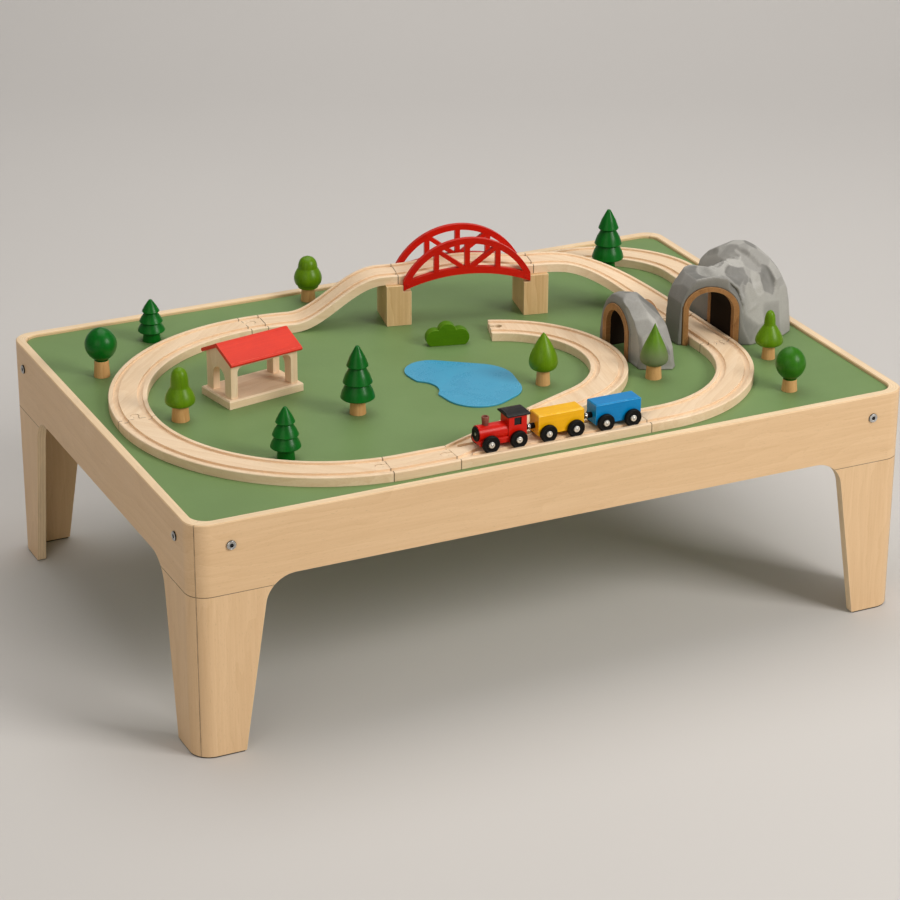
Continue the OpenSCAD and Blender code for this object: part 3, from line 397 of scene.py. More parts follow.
class TimberFigure(ShaderGroup):
    """Grain of a sawn board: broad figure, fine streaks and short pores."""

    name = "timber figure"
    inputs = {"Grain": (Socket.VECTOR, None), "Figure": (Socket.VALUE, 1.0), "Fine": (Socket.VALUE, 1.0)}
    outputs = {"Tone": Socket.VALUE, "Pores": Socket.VALUE, "Height": Socket.VALUE}

    def wire(self, graph: Graph, entry: bpy.types.NodeOutputs, leave: bpy.types.NodeInputs) -> None:
        """Builds the figure from stretched noise and bent growth rings.

        Args:
            graph: The group's graph.
            entry: Its inputs.
            leave: Its outputs.
        """
        grain = entry["Grain"]
        bent = graph.noise(graph.vector("MULTIPLY", grain, (2.2, 9.0, 9.0)), 1.0, 2.0, 0.45, 0.3)
        offset = graph.add("ShaderNodeCombineXYZ")
        graph.put(offset.inputs[1], graph.math("MULTIPLY", bent, 0.16))
        graph.put(offset.inputs[2], graph.math("MULTIPLY", bent, 0.10))
        across = graph.vector("ADD", grain, offset.outputs[0])
        rings = graph.add("ShaderNodeTexWave", wave_type="BANDS", bands_direction="Y", wave_profile="SAW")
        graph.put(rings.inputs["Vector"], graph.vector("MULTIPLY", across, (0.25, 1.0, 0.8)))
        rings.inputs["Scale"].default_value = 14.0
        rings.inputs["Distortion"].default_value = 2.5
        rings.inputs["Detail"].default_value = 2.0
        rings.inputs["Detail Scale"].default_value = 6.0
        broad = graph.noise(graph.vector("MULTIPLY", grain, (3.0, 30.0, 30.0)), 1.0, 3.0, 0.55)
        streak = graph.noise(graph.vector("MULTIPLY", grain, (10.0, 330.0, 330.0)), 1.0, 4.0, 0.62)
        ring_share = graph.math("MULTIPLY", graph.math("SUBTRACT", rings.outputs["Fac"], 0.5), 0.42)
        broad_share = graph.math("MULTIPLY", graph.math("SUBTRACT", broad, 0.5), 1.5)
        figure = graph.math("MULTIPLY", graph.math("ADD", ring_share, broad_share), entry["Figure"])
        strength = graph.math("MULTIPLY", entry["Fine"], 1.1)
        fine = graph.math("MULTIPLY", graph.math("SUBTRACT", streak, 0.5), strength)
        tone = graph.math("ADD", graph.math("ADD", figure, fine), 0.5, clamp=True)
        dash = graph.noise(graph.vector("MULTIPLY", grain, (150.0, 1500.0, 1500.0)), 1.0, 1.0, 0.5)
        pores = graph.band(dash, 0.66, 0.76)
        graph.put(leave["Tone"], tone)
        graph.put(leave["Pores"], pores)
        graph.put(leave["Height"], graph.math("SUBTRACT", streak, graph.math("MULTIPLY", pores, 0.6)))


class EdgeRub(ShaderGroup):
    """Where hands rub a broken edge: the edge attribute, worn through in patches."""

    name = "edge rub"
    inputs = {"Place": (Socket.VECTOR, None), "Amount": (Socket.VALUE, 0.5), "Patch": (Socket.VALUE, 90.0)}
    outputs = {"Mask": Socket.VALUE, "Edge": Socket.VALUE}

    def wire(self, graph: Graph, entry: bpy.types.NodeOutputs, leave: bpy.types.NodeInputs) -> None:
        """Breaks the edge attribute up with noise.

        Args:
            graph: The group's graph.
            entry: Its inputs.
            leave: Its outputs.
        """
        edge = graph.attribute("edge")
        node = graph.add("ShaderNodeTexNoise")
        graph.put(node.inputs["Vector"], entry["Place"])
        graph.put(node.inputs["Scale"], entry["Patch"])
        node.inputs["Detail"].default_value = 4.0
        node.inputs["Roughness"].default_value = 0.65
        limit = graph.math("SUBTRACT", 1.0, entry["Amount"])
        over = graph.math("SUBTRACT", node.outputs["Fac"], graph.math("MULTIPLY", limit, 0.8))
        patch = graph.math("MULTIPLY", over, 9.0, clamp=True)
        graph.put(leave["Mask"], graph.math("MULTIPLY", patch, edge))
        graph.put(leave["Edge"], edge)


class HandledSheen(ShaderGroup):
    """Faint changes of gloss and tone, as on a surface that is wiped and played on."""

    name = "handled sheen"
    inputs = {"Place": (Socket.VECTOR, None), "Roughness": (Socket.VALUE, 0.4), "Change": (Socket.VALUE, 0.1)}
    outputs = {"Roughness": Socket.VALUE, "Tone": Socket.VALUE}

    def wire(self, graph: Graph, entry: bpy.types.NodeOutputs, leave: bpy.types.NodeInputs) -> None:
        """Adds broad smears and a fine speckle.

        Args:
            graph: The group's graph.
            entry: Its inputs.
            leave: Its outputs.
        """
        smear = graph.noise(entry["Place"], 14.0, 3.0, 0.55, 0.6)
        speck = graph.noise(entry["Place"], 420.0, 2.0, 0.5)
        both = graph.blend(smear, 0.7, speck, 0.3)
        swing = graph.math("MULTIPLY", graph.math("SUBTRACT", both, 0.5), entry["Change"])
        swung = graph.math("ADD", entry["Roughness"], graph.math("MULTIPLY", swing, 2.0), clamp=True)
        graph.put(leave["Roughness"], swung)
        graph.put(leave["Tone"], both)


class PlyLayers(ShaderGroup):
    """Thin layers that show where plywood was cut across."""

    name = "ply layers"
    inputs = {"Depth": (Socket.VALUE, 0.0), "Place": (Socket.VECTOR, None), "Layer": (Socket.VALUE, 0.0021)}
    outputs = {"Layers": Socket.VALUE, "Glue": Socket.VALUE}

    def wire(self, graph: Graph, entry: bpy.types.NodeOutputs, leave: bpy.types.NodeInputs) -> None:
        """Turns depth under the outer face into layers and glue lines.

        Args:
            graph: The group's graph.
            entry: Its inputs.
            leave: Its outputs.
        """
        wander = graph.math("SUBTRACT", graph.noise(entry["Place"], 18.0, 2.0), 0.5)
        waver = graph.math("MULTIPLY", wander, 0.0005)
        turns = graph.math("DIVIDE", graph.math("ADD", entry["Depth"], waver), entry["Layer"])
        share = graph.math("FRACT", graph.math("MULTIPLY", turns, 0.5))
        rise = graph.band(share, 0.06, 0.16)
        layers = graph.math("MULTIPLY", rise, graph.band(share, 0.50, 0.60, 1.0, 0.0))
        whole = graph.math("FRACT", turns)
        within = graph.math("MULTIPLY", whole, graph.math("SUBTRACT", 1.0, whole))
        glue = graph.math("SUBTRACT", 1.0, graph.math("MULTIPLY", within, 14.0, clamp=True))
        graph.put(leave["Layers"], layers)
        graph.put(leave["Glue"], glue)


class MitreLine(ShaderGroup):
    """The thin dark line where two boards meet in a mitre at the corners of a frame."""

    name = "mitre line"
    inputs = {
        "Place": (Socket.VECTOR, None),
        "Half Length": (Socket.VALUE, 1.0),
        "Half Width": (Socket.VALUE, 1.0),
    }
    outputs = {"Line": Socket.VALUE}

    def wire(self, graph: Graph, entry: bpy.types.NodeOutputs, leave: bpy.types.NodeInputs) -> None:
        """Measures the distance to the diagonal plane of each corner.

        Args:
            graph: The group's graph.
            entry: Its inputs.
            leave: Its outputs.
        """
        split = graph.add("ShaderNodeSeparateXYZ")
        graph.put(split.inputs[0], entry["Place"])
        along = graph.math("SUBTRACT", graph.math("ABSOLUTE", split.outputs[0]), entry["Half Length"])
        across = graph.math("SUBTRACT", graph.math("ABSOLUTE", split.outputs[1]), entry["Half Width"])
        apart = graph.math("ABSOLUTE", graph.math("SUBTRACT", along, across))
        wavy = graph.noise(entry["Place"], 60.0, 2.0)
        line = graph.band(apart, 0.0007, 0.0017, 1.0, 0.0)
        graph.put(leave["Line"], graph.math("MULTIPLY", line, graph.band(wavy, 0.3, 0.7, 0.45, 0.85)))


def new_material(name: str) -> tuple[bpy.types.Material, Graph, bpy.types.Node]:
    """Makes an empty material.

    Args:
        name: The material's name.

    Returns:
        The material, its graph, and its Principled BSDF.
    """
    material = bpy.data.materials.new(name)
    material.use_nodes = True
    material.node_tree.nodes.clear()
    graph = Graph(material.node_tree)
    shader = graph.add("ShaderNodeBsdfPrincipled")
    output = graph.add("ShaderNodeOutputMaterial")
    material.node_tree.links.new(shader.outputs["BSDF"], output.inputs["Surface"])
    return material, graph, shader


def bump(graph: Graph, shader: bpy.types.Node, height: Socketlike, strength: float, distance: float) -> None:
    """Feeds a height into the shader's normal.

    Args:
        graph: The material's graph.
        shader: Its Principled BSDF.
        height: The height's socket.
        strength: How strongly it shows.
        distance: How deep it is, in metres.
    """
    node = graph.add("ShaderNodeBump")
    node.inputs["Strength"].default_value = strength
    node.inputs["Distance"].default_value = distance
    graph.put(node.inputs["Height"], height)
    graph.put(shader.inputs["Normal"], node.outputs["Normal"])


class Finish:
    """A finish that knows how to make its material."""

    name: str

    @property
    def label(self) -> str:
        """Name of the material, kept apart from the names of the record's slots."""
        return self.name + " finish"

    def make(self) -> bpy.types.Material:
        """Builds the material.

        Returns:
            The material.
        """
        raise NotImplementedError

    def material(self) -> bpy.types.Material:
        """Gives the finish's material, built on first use.

        Returns:
            The material.
        """
        return bpy.data.materials.get(self.label) or self.make()


@dataclass(frozen=True)
class Timber(Finish):
    """Bare or lacquered timber with grain."""

    name: str
    light: Colour
    dark: Colour
    rubbed: Colour
    figure: float = 1.0
    fine: float = 1.0
    roughness: float = 0.5
    coat: float = 0.0
    relief: float = 0.25
    gloss: float = 0.3
    mitre: Optional[tuple[float, float]] = None

    def make(self) -> bpy.types.Material:
        """Builds the timber from the shared grain, sheen and rub.

        Returns:
            The material.
        """
        material, graph, shader = new_material(self.label)
        grain = graph.attribute("grain", "Vector")
        place = graph.place()
        figure = graph.use(TimberFigure().tree(), Grain=grain, Figure=self.figure, Fine=self.fine).outputs
        sheen = graph.use(HandledSheen().tree(), Place=place, Roughness=self.roughness, Change=0.08).outputs
        rub = graph.use(EdgeRub().tree(), Place=place, Amount=0.62, Patch=60.0).outputs
        colour = graph.mix(figure["Tone"], self.dark, self.light)
        colour = graph.mix(graph.math("MULTIPLY", figure["Pores"], 0.35), colour, scaled(self.dark, 0.55))
        colour = graph.mix(graph.math("MULTIPLY", rub["Mask"], 0.45), colour, self.rubbed)
        joint = graph.math("MULTIPLY", graph.attribute("seam"), 0.8)
        if self.mitre is not None:
            length, width = self.mitre
            line = graph.use(MitreLine().tree(), Place=place, Half_Length=length, Half_Width=width)
            joint = graph.math("MAXIMUM", joint, line.outputs["Line"])
        colour = graph.mix(joint, colour, scaled(self.dark, 0.22))
        graph.put(shader.inputs["Base Color"], colour)
        graph.put(shader.inputs["Roughness"], sheen["Roughness"])
        shader.inputs["Specular IOR Level"].default_value = self.gloss
        shader.inputs["Coat Weight"].default_value = self.coat
        shader.inputs["Coat Roughness"].default_value = 0.25
        bump(graph, shader, figure["Height"], self.relief, 0.00035)
        return material


@dataclass(frozen=True)
class CutPly(Finish):
    """The cut edge of plywood, with its layers."""

    name: str
    pale: Colour
    brown: Colour
    glue: Colour
    roughness: float = 0.5

    def make(self) -> bpy.types.Material:
        """Builds the layers from the depth attribute.

        Returns:
            The material.
        """
        material, graph, shader = new_material(self.label)
        grain = graph.attribute("grain", "Vector")
        place = graph.place()
        layers = graph.use(PlyLayers().tree(), Depth=graph.attribute("depth"), Place=place).outputs
        figure = graph.use(TimberFigure().tree(), Grain=grain, Figure=0.5, Fine=1.0).outputs
        sheen = graph.use(HandledSheen().tree(), Place=place, Roughness=self.roughness, Change=0.08).outputs
        colour = graph.mix(graph.math("MULTIPLY", layers["Layers"], 0.4), self.pale, self.brown)
        colour = graph.mix(graph.math("MULTIPLY", layers["Glue"], 0.16), colour, self.glue)
        shade = graph.band(figure["Tone"], 0.0, 1.0, 0.90, 1.06)
        tint = graph.add("ShaderNodeCombineColor")
        for channel in ("Red", "Green", "Blue"):
            graph.put(tint.inputs[channel], shade)
        colour = graph.mix(1.0, colour, tint.outputs[0], "MULTIPLY")
        graph.put(shader.inputs["Base Color"], colour)
        graph.put(shader.inputs["Roughness"], sheen["Roughness"])
        bump(graph, shader, graph.math("SUBTRACT", figure["Height"], layers["Glue"]), 0.2, 0.0003)
        return material


@dataclass(frozen=True)
class Paint(Finish):
    """Paint over turned or sawn timber, rubbed thin on the edges in patches, with a painted highlight along
    every edge.
    """

    name: str
    colour: Colour
    deep: Colour
    rubbed: Colour
    roughness: float = 0.35
    coat: float = 0.03
    gloss: float = 0.22
    wear: float = 0.45
    telegraph: float = 0.3
    fade_from: Optional[float] = None
    fade_to: Optional[float] = None
    fade_colour: Colour = (0.5, 0.5, 0.5)

    def make(self) -> bpy.types.Material:
        """Builds the paint, with the grain that shows through it.

        Returns:
            The material.
        """
        material, graph, shader = new_material(self.label)
        place = graph.place()
        grain = graph.attribute("grain", "Vector")
        figure = graph.use(TimberFigure().tree(), Grain=grain, Figure=0.8, Fine=1.2).outputs
        sheen = graph.use(HandledSheen().tree(), Place=place, Roughness=self.roughness, Change=0.10).outputs
        rub = graph.use(EdgeRub().tree(), Place=place, Amount=self.wear, Patch=140.0).outputs
        tone = graph.blend(figure["Tone"], self.telegraph, sheen["Tone"], 1.0 - self.telegraph)
        colour = graph.mix(graph.band(tone, 0.25, 0.75), self.deep, self.colour)
        if self.fade_from is not None:
            share = graph.band(graph.height_of(place), self.fade_from, self.fade_to)
            colour = graph.mix(share, self.fade_colour, colour)
        # Every broken edge is lightened a little all round as a painted highlight; the patches below are
        # rubbed paint.
        colour = graph.mix(graph.math("MULTIPLY", rub["Edge"], 0.16), colour, self.rubbed)
        colour = graph.mix(graph.math("MULTIPLY", rub["Mask"], 0.5), colour, self.rubbed)
        graph.put(shader.inputs["Base Color"], colour)
        graph.put(shader.inputs["Roughness"], sheen["Roughness"])
        shader.inputs["Specular IOR Level"].default_value = self.gloss
        shader.inputs["Coat Weight"].default_value = self.coat
        shader.inputs["Coat Roughness"].default_value = 0.12
        peel = graph.noise(place, 900.0, 2.0, 0.5)
        bump(graph, shader, graph.blend(peel, 0.5, figure["Height"], self.telegraph), 0.18, 0.0003)
        return material


@dataclass(frozen=True)
class Laminate(Finish):
    """The satin green sheet that the railway stands on."""

    name: str
    colour: Colour
    deep: Colour
    roughness: float = 0.46

    def make(self) -> bpy.types.Material:
        """Builds a fine leathery sheet with faint clouds.

        Returns:
            The material.
        """
        material, graph, shader = new_material(self.label)
        place = graph.place()
        sheen = graph.use(HandledSheen().tree(), Place=place, Roughness=self.roughness, Change=0.06).outputs
        cloud = graph.noise(place, 5.0, 4.0, 0.55, 0.4)
        speck = graph.noise(place, 700.0, 2.0, 0.6)
        tone = graph.blend(cloud, 0.65, speck, 0.35)
        graph.put(shader.inputs["Base Color"], graph.mix(graph.band(tone, 0.3, 0.7), self.deep, self.colour))
        graph.put(shader.inputs["Roughness"], sheen["Roughness"])
        shader.inputs["Specular IOR Level"].default_value = 0.25
        bump(graph, shader, graph.noise(place, 1100.0, 3.0, 0.6), 0.12, 0.0003)
        return material


@dataclass(frozen=True)
class Moulded(Finish):
    """Moulded plastic or rubber."""

    name: str
    colour: Colour
    worn: Colour
    roughness: float = 0.35
    gloss: float = 0.3

    def make(self) -> bpy.types.Material:
        """Builds a dark moulding with scuffed edges.

        Returns:
            The material.
        """
        material, graph, shader = new_material(self.label)
        place = graph.place()
        sheen = graph.use(HandledSheen().tree(), Place=place, Roughness=self.roughness, Change=0.12).outputs
        rub = graph.use(EdgeRub().tree(), Place=place, Amount=0.6, Patch=260.0).outputs
        colour = graph.mix(graph.math("MULTIPLY", sheen["Tone"], 0.3), self.colour, self.worn)
        colour = graph.mix(graph.math("MULTIPLY", rub["Mask"], 0.6), colour, self.worn)
        graph.put(shader.inputs["Base Color"], colour)
        graph.put(shader.inputs["Roughness"], sheen["Roughness"])
        shader.inputs["Specular IOR Level"].default_value = self.gloss
        bump(graph, shader, graph.noise(place, 1400.0, 2.0, 0.5), 0.12, 0.0002)
        return material


@dataclass(frozen=True)
class Metal(Finish):
    """Plated steel with fine turning marks."""

    name: str
    colour: Colour
    dull: Colour
    roughness: float = 0.3

    def make(self) -> bpy.types.Material:
        """Builds brushed steel.

        Returns:
            The material.
        """
        material, graph, shader = new_material(self.label)
        place = graph.place()
        sheen = graph.use(HandledSheen().tree(), Place=place, Roughness=self.roughness, Change=0.16).outputs
        fine = graph.noise(graph.vector("MULTIPLY", place, (600.0, 600.0, 4000.0)), 1.0, 3.0, 0.6)
        tone = graph.band(graph.blend(fine, 0.5, sheen["Tone"], 0.5), 0.3, 0.7)
        graph.put(shader.inputs["Base Color"], graph.mix(tone, self.dull, self.colour))
        graph.put(shader.inputs["Roughness"], sheen["Roughness"])
        shader.inputs["Metallic"].default_value = 1.0
        bump(graph, shader, fine, 0.1, 0.0001)
        return material


@dataclass(frozen=True)
class StonePaint(Finish):
    """Carved rock in washes of grey, one wash to a cut."""

    name: str
    dark: Colour
    middle: Colour
    pale: Colour
    foot: Colour
    mouth_shade_colour: Colour
    roughness: float = 0.62

    def make(self) -> bpy.types.Material:
        """Builds the washes from the cuts' own shade, with a painted highlight on the ridges and painted
        shade round the mouths.

        Returns:
            The material.
        """
        material, graph, shader = new_material(self.label)
        place = graph.place()
        wash = graph.noise(graph.vector("MULTIPLY", place, (1.0, 1.0, 0.35)), 38.0, 4.0, 0.6, 0.8)
        tone = graph.blend(graph.attribute("shade"), 0.72, wash, 0.36)
        low = graph.mix(graph.band(tone, 0.10, 0.50), self.dark, self.middle)
        colour = graph.mix(graph.band(tone, 0.45, 0.92), low, self.pale)
        grit = graph.noise(place, 620.0, 3.0, 0.65)
        colour = graph.mix(graph.band(grit, 0.35, 0.75, 0.0, 0.22), colour, self.dark)
        # Painted highlight along the ridges where two cuts meet.
        colour = graph.mix(graph.math("MULTIPLY", graph.attribute("ridge"), 0.30), colour, self.pale)
        low_share = graph.band(graph.height_of(place), BOARD_TOP, BOARD_TOP + 0.03, 0.35, 0.0)
        colour = graph.mix(low_share, colour, self.foot)
        # Painted shade round the tunnel mouths, strongest at the linings and just beyond the ends of the
        # ways.
        colour = graph.mix(graph.math("MULTIPLY", graph.attribute("mouth_shade"), 0.38), colour, self.mouth_shade_colour)
        graph.put(shader.inputs["Base Color"], colour)
        sheen = graph.use(HandledSheen().tree(), Place=place, Roughness=self.roughness, Change=0.08).outputs
        graph.put(shader.inputs["Roughness"], sheen["Roughness"])
        shader.inputs["Specular IOR Level"].default_value = 0.2
        bump(graph, shader, graph.blend(wash, 0.6, grit, 0.4), 0.25, 0.0008)
        return material


@dataclass(frozen=True)
class Backdrop(Finish):
    """The plain paper that floor and backdrop are made of."""

    name: str
    colour: Colour

    def make(self) -> bpy.types.Material:
        """Builds matt paper with a barely seen cloud.

        Returns:
            The material.
        """
        material, graph, shader = new_material(self.label)
        place = graph.place()
        cloud = graph.noise(place, 0.7, 2.0, 0.5)
        colour = graph.mix(cloud, scaled(self.colour, 0.97), scaled(self.colour, 1.03))
        graph.put(shader.inputs["Base Color"], colour)
        shader.inputs["Roughness"].default_value = 0.85
        return material


PALE_EDGE = srgb(246, 222, 186)

PLY_FACE = Timber(
    "lacquered_ply", srgb(233, 199, 157), srgb(216, 179, 134), PALE_EDGE,
    figure=0.55, fine=0.8, roughness=0.42, coat=0.1, relief=0.15, mitre=(HALF_LENGTH, HALF_WIDTH),
)
PLY_EDGE = CutPly("cut_ply", srgb(243, 217, 180), srgb(222, 188, 145), srgb(196, 158, 112), roughness=0.46)
BEECH = Timber(
    "sanded_beech", srgb(244, 219, 188), srgb(227, 195, 157), srgb(250, 232, 206),
    figure=0.8, fine=1.0, roughness=0.52, relief=0.25,
)
PINE = Timber(
    "sanded_pine", srgb(228, 194, 146), srgb(203, 163, 112), srgb(242, 218, 180),
    figure=1.2, fine=1.1, roughness=0.55, relief=0.3,
)
TRUNK = Timber(
    "turned_trunk", srgb(219, 173, 116), srgb(192, 142, 86), srgb(232, 196, 148),
    figure=1.0, fine=1.2, roughness=0.5, relief=0.3,
)
LINING = Timber(
    "stained_lining", srgb(176, 128, 80), srgb(139, 96, 56), srgb(203, 160, 112),
    figure=1.1, fine=1.0, roughness=0.5, relief=0.3,
)
GREEN_SHEET = Laminate("green_sheet", srgb(117, 145, 91), srgb(109, 136, 83))
RED_PAINT = Paint(
    "red_paint", srgb(210, 26, 6), srgb(188, 16, 4), srgb(230, 92, 66),
    roughness=0.34, gloss=0.2,
)
ROOF_PAINT = Paint("roof_paint", srgb(224, 54, 28), srgb(208, 42, 20), srgb(240, 120, 96), roughness=0.42)
YELLOW_PAINT = Paint(
    "yellow_paint", srgb(244, 184, 8), srgb(230, 166, 2), srgb(252, 220, 112),
    roughness=0.34,
)
BLUE_PAINT = Paint("blue_paint", srgb(0, 134, 198), srgb(0, 116, 178), srgb(96, 186, 224), roughness=0.34)
DARK_LEAF = Paint(
    "dark_leaf_paint", srgb(0, 106, 24), srgb(0, 86, 16), srgb(40, 138, 58),
    roughness=0.34, wear=0.3, gloss=0.2,
)
LIGHT_LEAF = Paint(
    "light_leaf_paint", srgb(103, 143, 6), srgb(83, 121, 2), srgb(150, 188, 60),
    roughness=0.36, wear=0.3, gloss=0.2,
)
DEEP_LEAF = Paint(
    "deep_leaf_paint", srgb(50, 114, 16), srgb(36, 94, 8), srgb(92, 150, 62),
    roughness=0.34, wear=0.3, gloss=0.2,
)
BUSH_LEAF = Paint(
    "bush_paint", srgb(82, 130, 8), srgb(68, 112, 4), srgb(126, 168, 50),
    roughness=0.46, wear=0.3, gloss=0.12,
)
MOSS_LEAF = Paint(
    "moss_leaf_paint", srgb(98, 140, 26), srgb(80, 118, 18), srgb(140, 172, 76),
    roughness=0.48, wear=0.3, fade_from=0.402, fade_to=0.442, fade_colour=srgb(108, 120, 84),
)
# The pond's lighter rim is a painted highlight along its edges.
POND_PAINT = Paint(
    "pond_paint", srgb(66, 166, 202), srgb(56, 154, 192), srgb(140, 200, 226),
    roughness=0.28, gloss=0.35, wear=0.0, telegraph=0.1,
)
BLACK_PAINT = Paint("black_paint", srgb(14, 14, 14), srgb(8, 8, 8), srgb(70, 68, 66), roughness=0.4)
FUNNEL_PAINT = Paint(
    "funnel_stain", srgb(146, 84, 70), srgb(112, 58, 46), srgb(190, 140, 122),
    roughness=0.4, telegraph=0.7,
)
BLACK_PLASTIC = Moulded("black_plastic", srgb(5, 5, 5), srgb(24, 23, 22), roughness=0.5, gloss=0.16)
# Black painted shade for the sunk cab windows and the bolts' sockets.
RECESS_SHADE = Moulded("painted_recess_shade", srgb(12, 12, 13), srgb(34, 34, 36), roughness=0.2)
PAD_RUBBER = Moulded("pad_rubber", srgb(46, 40, 34), srgb(74, 66, 58), roughness=0.8)
STEEL = Metal("plated_steel", srgb(212, 212, 210), srgb(164, 164, 162), roughness=0.3)
BORE_SHADE = Moulded("bore_shade", srgb(30, 22, 16), srgb(58, 44, 32), roughness=0.9, gloss=0.1)
HUB_METAL = Metal("hub_metal", srgb(240, 238, 232), srgb(206, 204, 198), roughness=0.36)
ROCK = StonePaint(
    "rock_washes",
    dark=srgb(118, 117, 113),
    middle=srgb(156, 154, 149),
    pale=srgb(182, 180, 174),
    foot=srgb(124, 122, 114),
    # colour of the painted shade round the tunnel mouths
    mouth_shade_colour=srgb(58, 58, 54),
)
PAPER = Backdrop("backdrop_paper", srgb(207, 204, 201))


@dataclass
class Workshop:
    """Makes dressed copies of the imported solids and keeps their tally."""

    frame: dict
    pieces: list[str] = field(default_factory=list)

    def source(self, node: str) -> bmesh.types.BMesh:
        """Reads a solid's mesh as a clean mesh of whole faces.

        Args:
            node: The solid's name.

        Returns:
            A mesh with shared corners and no triangles on flat faces.
        """
        mesh = bmesh.new()
        mesh.from_mesh(self.frame["nodes"][node].data)
        bmesh.ops.remove_doubles(mesh, verts=mesh.verts, dist=WELD_REACH)
        bmesh.ops.dissolve_degenerate(mesh, edges=mesh.edges, dist=SLIVER)
        flat = math.radians(FLAT_WITHIN)
        bmesh.ops.dissolve_limit(mesh, angle_limit=flat, verts=mesh.verts, edges=mesh.edges)
        return mesh

    def body_of(self, node: str) -> str:
        """Finds the body that a solid belongs to."""
        return self.frame["nodes"][node]["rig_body"]

    def dress(
        self,
        node: str,
        finishes: Sequence[Finish],
        chooser: Optional[Chooser] = None,
        edge: float = 0.0005,
        grain: Grain = Grain.LENGTHWISE,
        sharp: float = 32.0,
        meets: Sequence[str] = (),
    ) -> bpy.types.Object:
        """Stands a dressed copy in for a solid.

        Args:
            node: The solid's name.
            finishes: The finishes that the copy uses.
            chooser: Picks a finish for a face from its middle and its normal.
            edge: Width of the broken edges, in metres.
            grain: The way the timber runs.
            sharp: Angle above which an edge is broken, in degrees.
            meets: Solids that it meets in a dark seam.

        Returns:
            The copy, which already rides on the solid's body.
        """
        work = self.source(node)
        layer = work.faces.layers.float.new("edge")
        seam = work.faces.layers.float.new("seam")
        self.open_seams(work, [other for other in meets if other != node], seam, sharp)
        broken = self.break_edges(work, edge, sharp, seam)
        data = bpy.data.meshes.new(node + "_dressed")
        for face in work.faces:
            face[layer] = 0.0
            face.smooth = True
        for face in broken:
            face[layer] = 1.0 - face[seam]
        if chooser is not None:
            for face in work.faces:
                face.material_index = chooser(face.calc_center_median(), face.normal)
        work.to_mesh(data)
        work.free()
        data.set_sharp_from_angle(angle=math.radians(SHADED_SHARP))
        for finish in finishes:
            data.materials.append(finish.material())
        self.lay_grain(data, grain, node)
        piece = bpy.data.objects.new(node + "_dressed", data)
        bpy.context.scene.collection.objects.link(piece)
        self.flatten_shading(piece)
        return self.fit(piece, node)

    def open_seams(
        self,
        work: bmesh.types.BMesh,
        others: Sequence[str],
        seam: bmesh.types.BMLayerItem,
        sharp: float,
    ) -> None:
        """Breaks the edges where a piece meets others, and marks them as dark seams.

        Args:
            work: The piece's mesh.
            others: Names of the solids that it meets.
            seam: The layer that marks the seams.
            sharp: Angle above which an edge counts, in degrees.
        """
        trees = []
        for other in others:
            mesh = self.source(other)
            trees.append(BVHTree.FromBMesh(mesh))
            mesh.free()

        def touches(place: Vector) -> bool:
            """Tells whether a point lies on one of the other solids."""
            return any(tree.find_nearest(place, SEAM_REACH)[0] is not None for tree in trees)

        near = {v for v in work.verts if touches(v.co)}
        limit = math.radians(sharp)
        edges = []
        for e in work.edges:
            start, end = e.verts
            if len(e.link_faces) == 2 and e.calc_face_angle(0.0) > limit and start in near and end in near:
                if touches((start.co + end.co) / 2.0):
                    edges.append(e)
        for face in self.bevel(work, edges, SEAM_WIDTH, 1):
            face[seam] = 1.0

    def bevel(
        self,
        work: bmesh.types.BMesh,
        edges: list[bmesh.types.BMEdge],
        width: float,
        segments: int,
    ) -> list[bmesh.types.BMFace]:
        """Bevels edges of a mesh.

        Args:
            work: The mesh.
            edges: Its edges.
            width: Width of the bevel.
            segments: Number of strips.

        Returns:
            The faces of the bevel.
        """
        made = bmesh.ops.bevel(
            work,
            geom=edges,
            offset=width,
            offset_type="OFFSET",
            segments=segments,
            profile=0.5,
            affect="EDGES",
            clamp_overlap=True,
        )
        return list(made["faces"])

    def break_edges(
        self, work: bmesh.types.BMesh, width: float, sharp: float, seam: bmesh.types.BMLayerItem
    ) -> list[bmesh.types.BMFace]:
        """Bevels the sharp edges of a mesh, apart from its seams.

        Args:
            work: The mesh.
            width: Width of the bevel.
            sharp: Angle above which an edge counts, in degrees.
            seam: The layer that marks the seams.

        Returns:
            The faces of the bevel.
        """
        if width <= 0.0:
            return []
        limit = math.radians(sharp)
        edges = [
            e
            for e in work.edges
            if len(e.link_faces) == 2
            and e.calc_face_angle(0.0) > limit
            and not any(f[seam] for f in e.link_faces)
        ]
        return self.bevel(work, edges, width, 2)

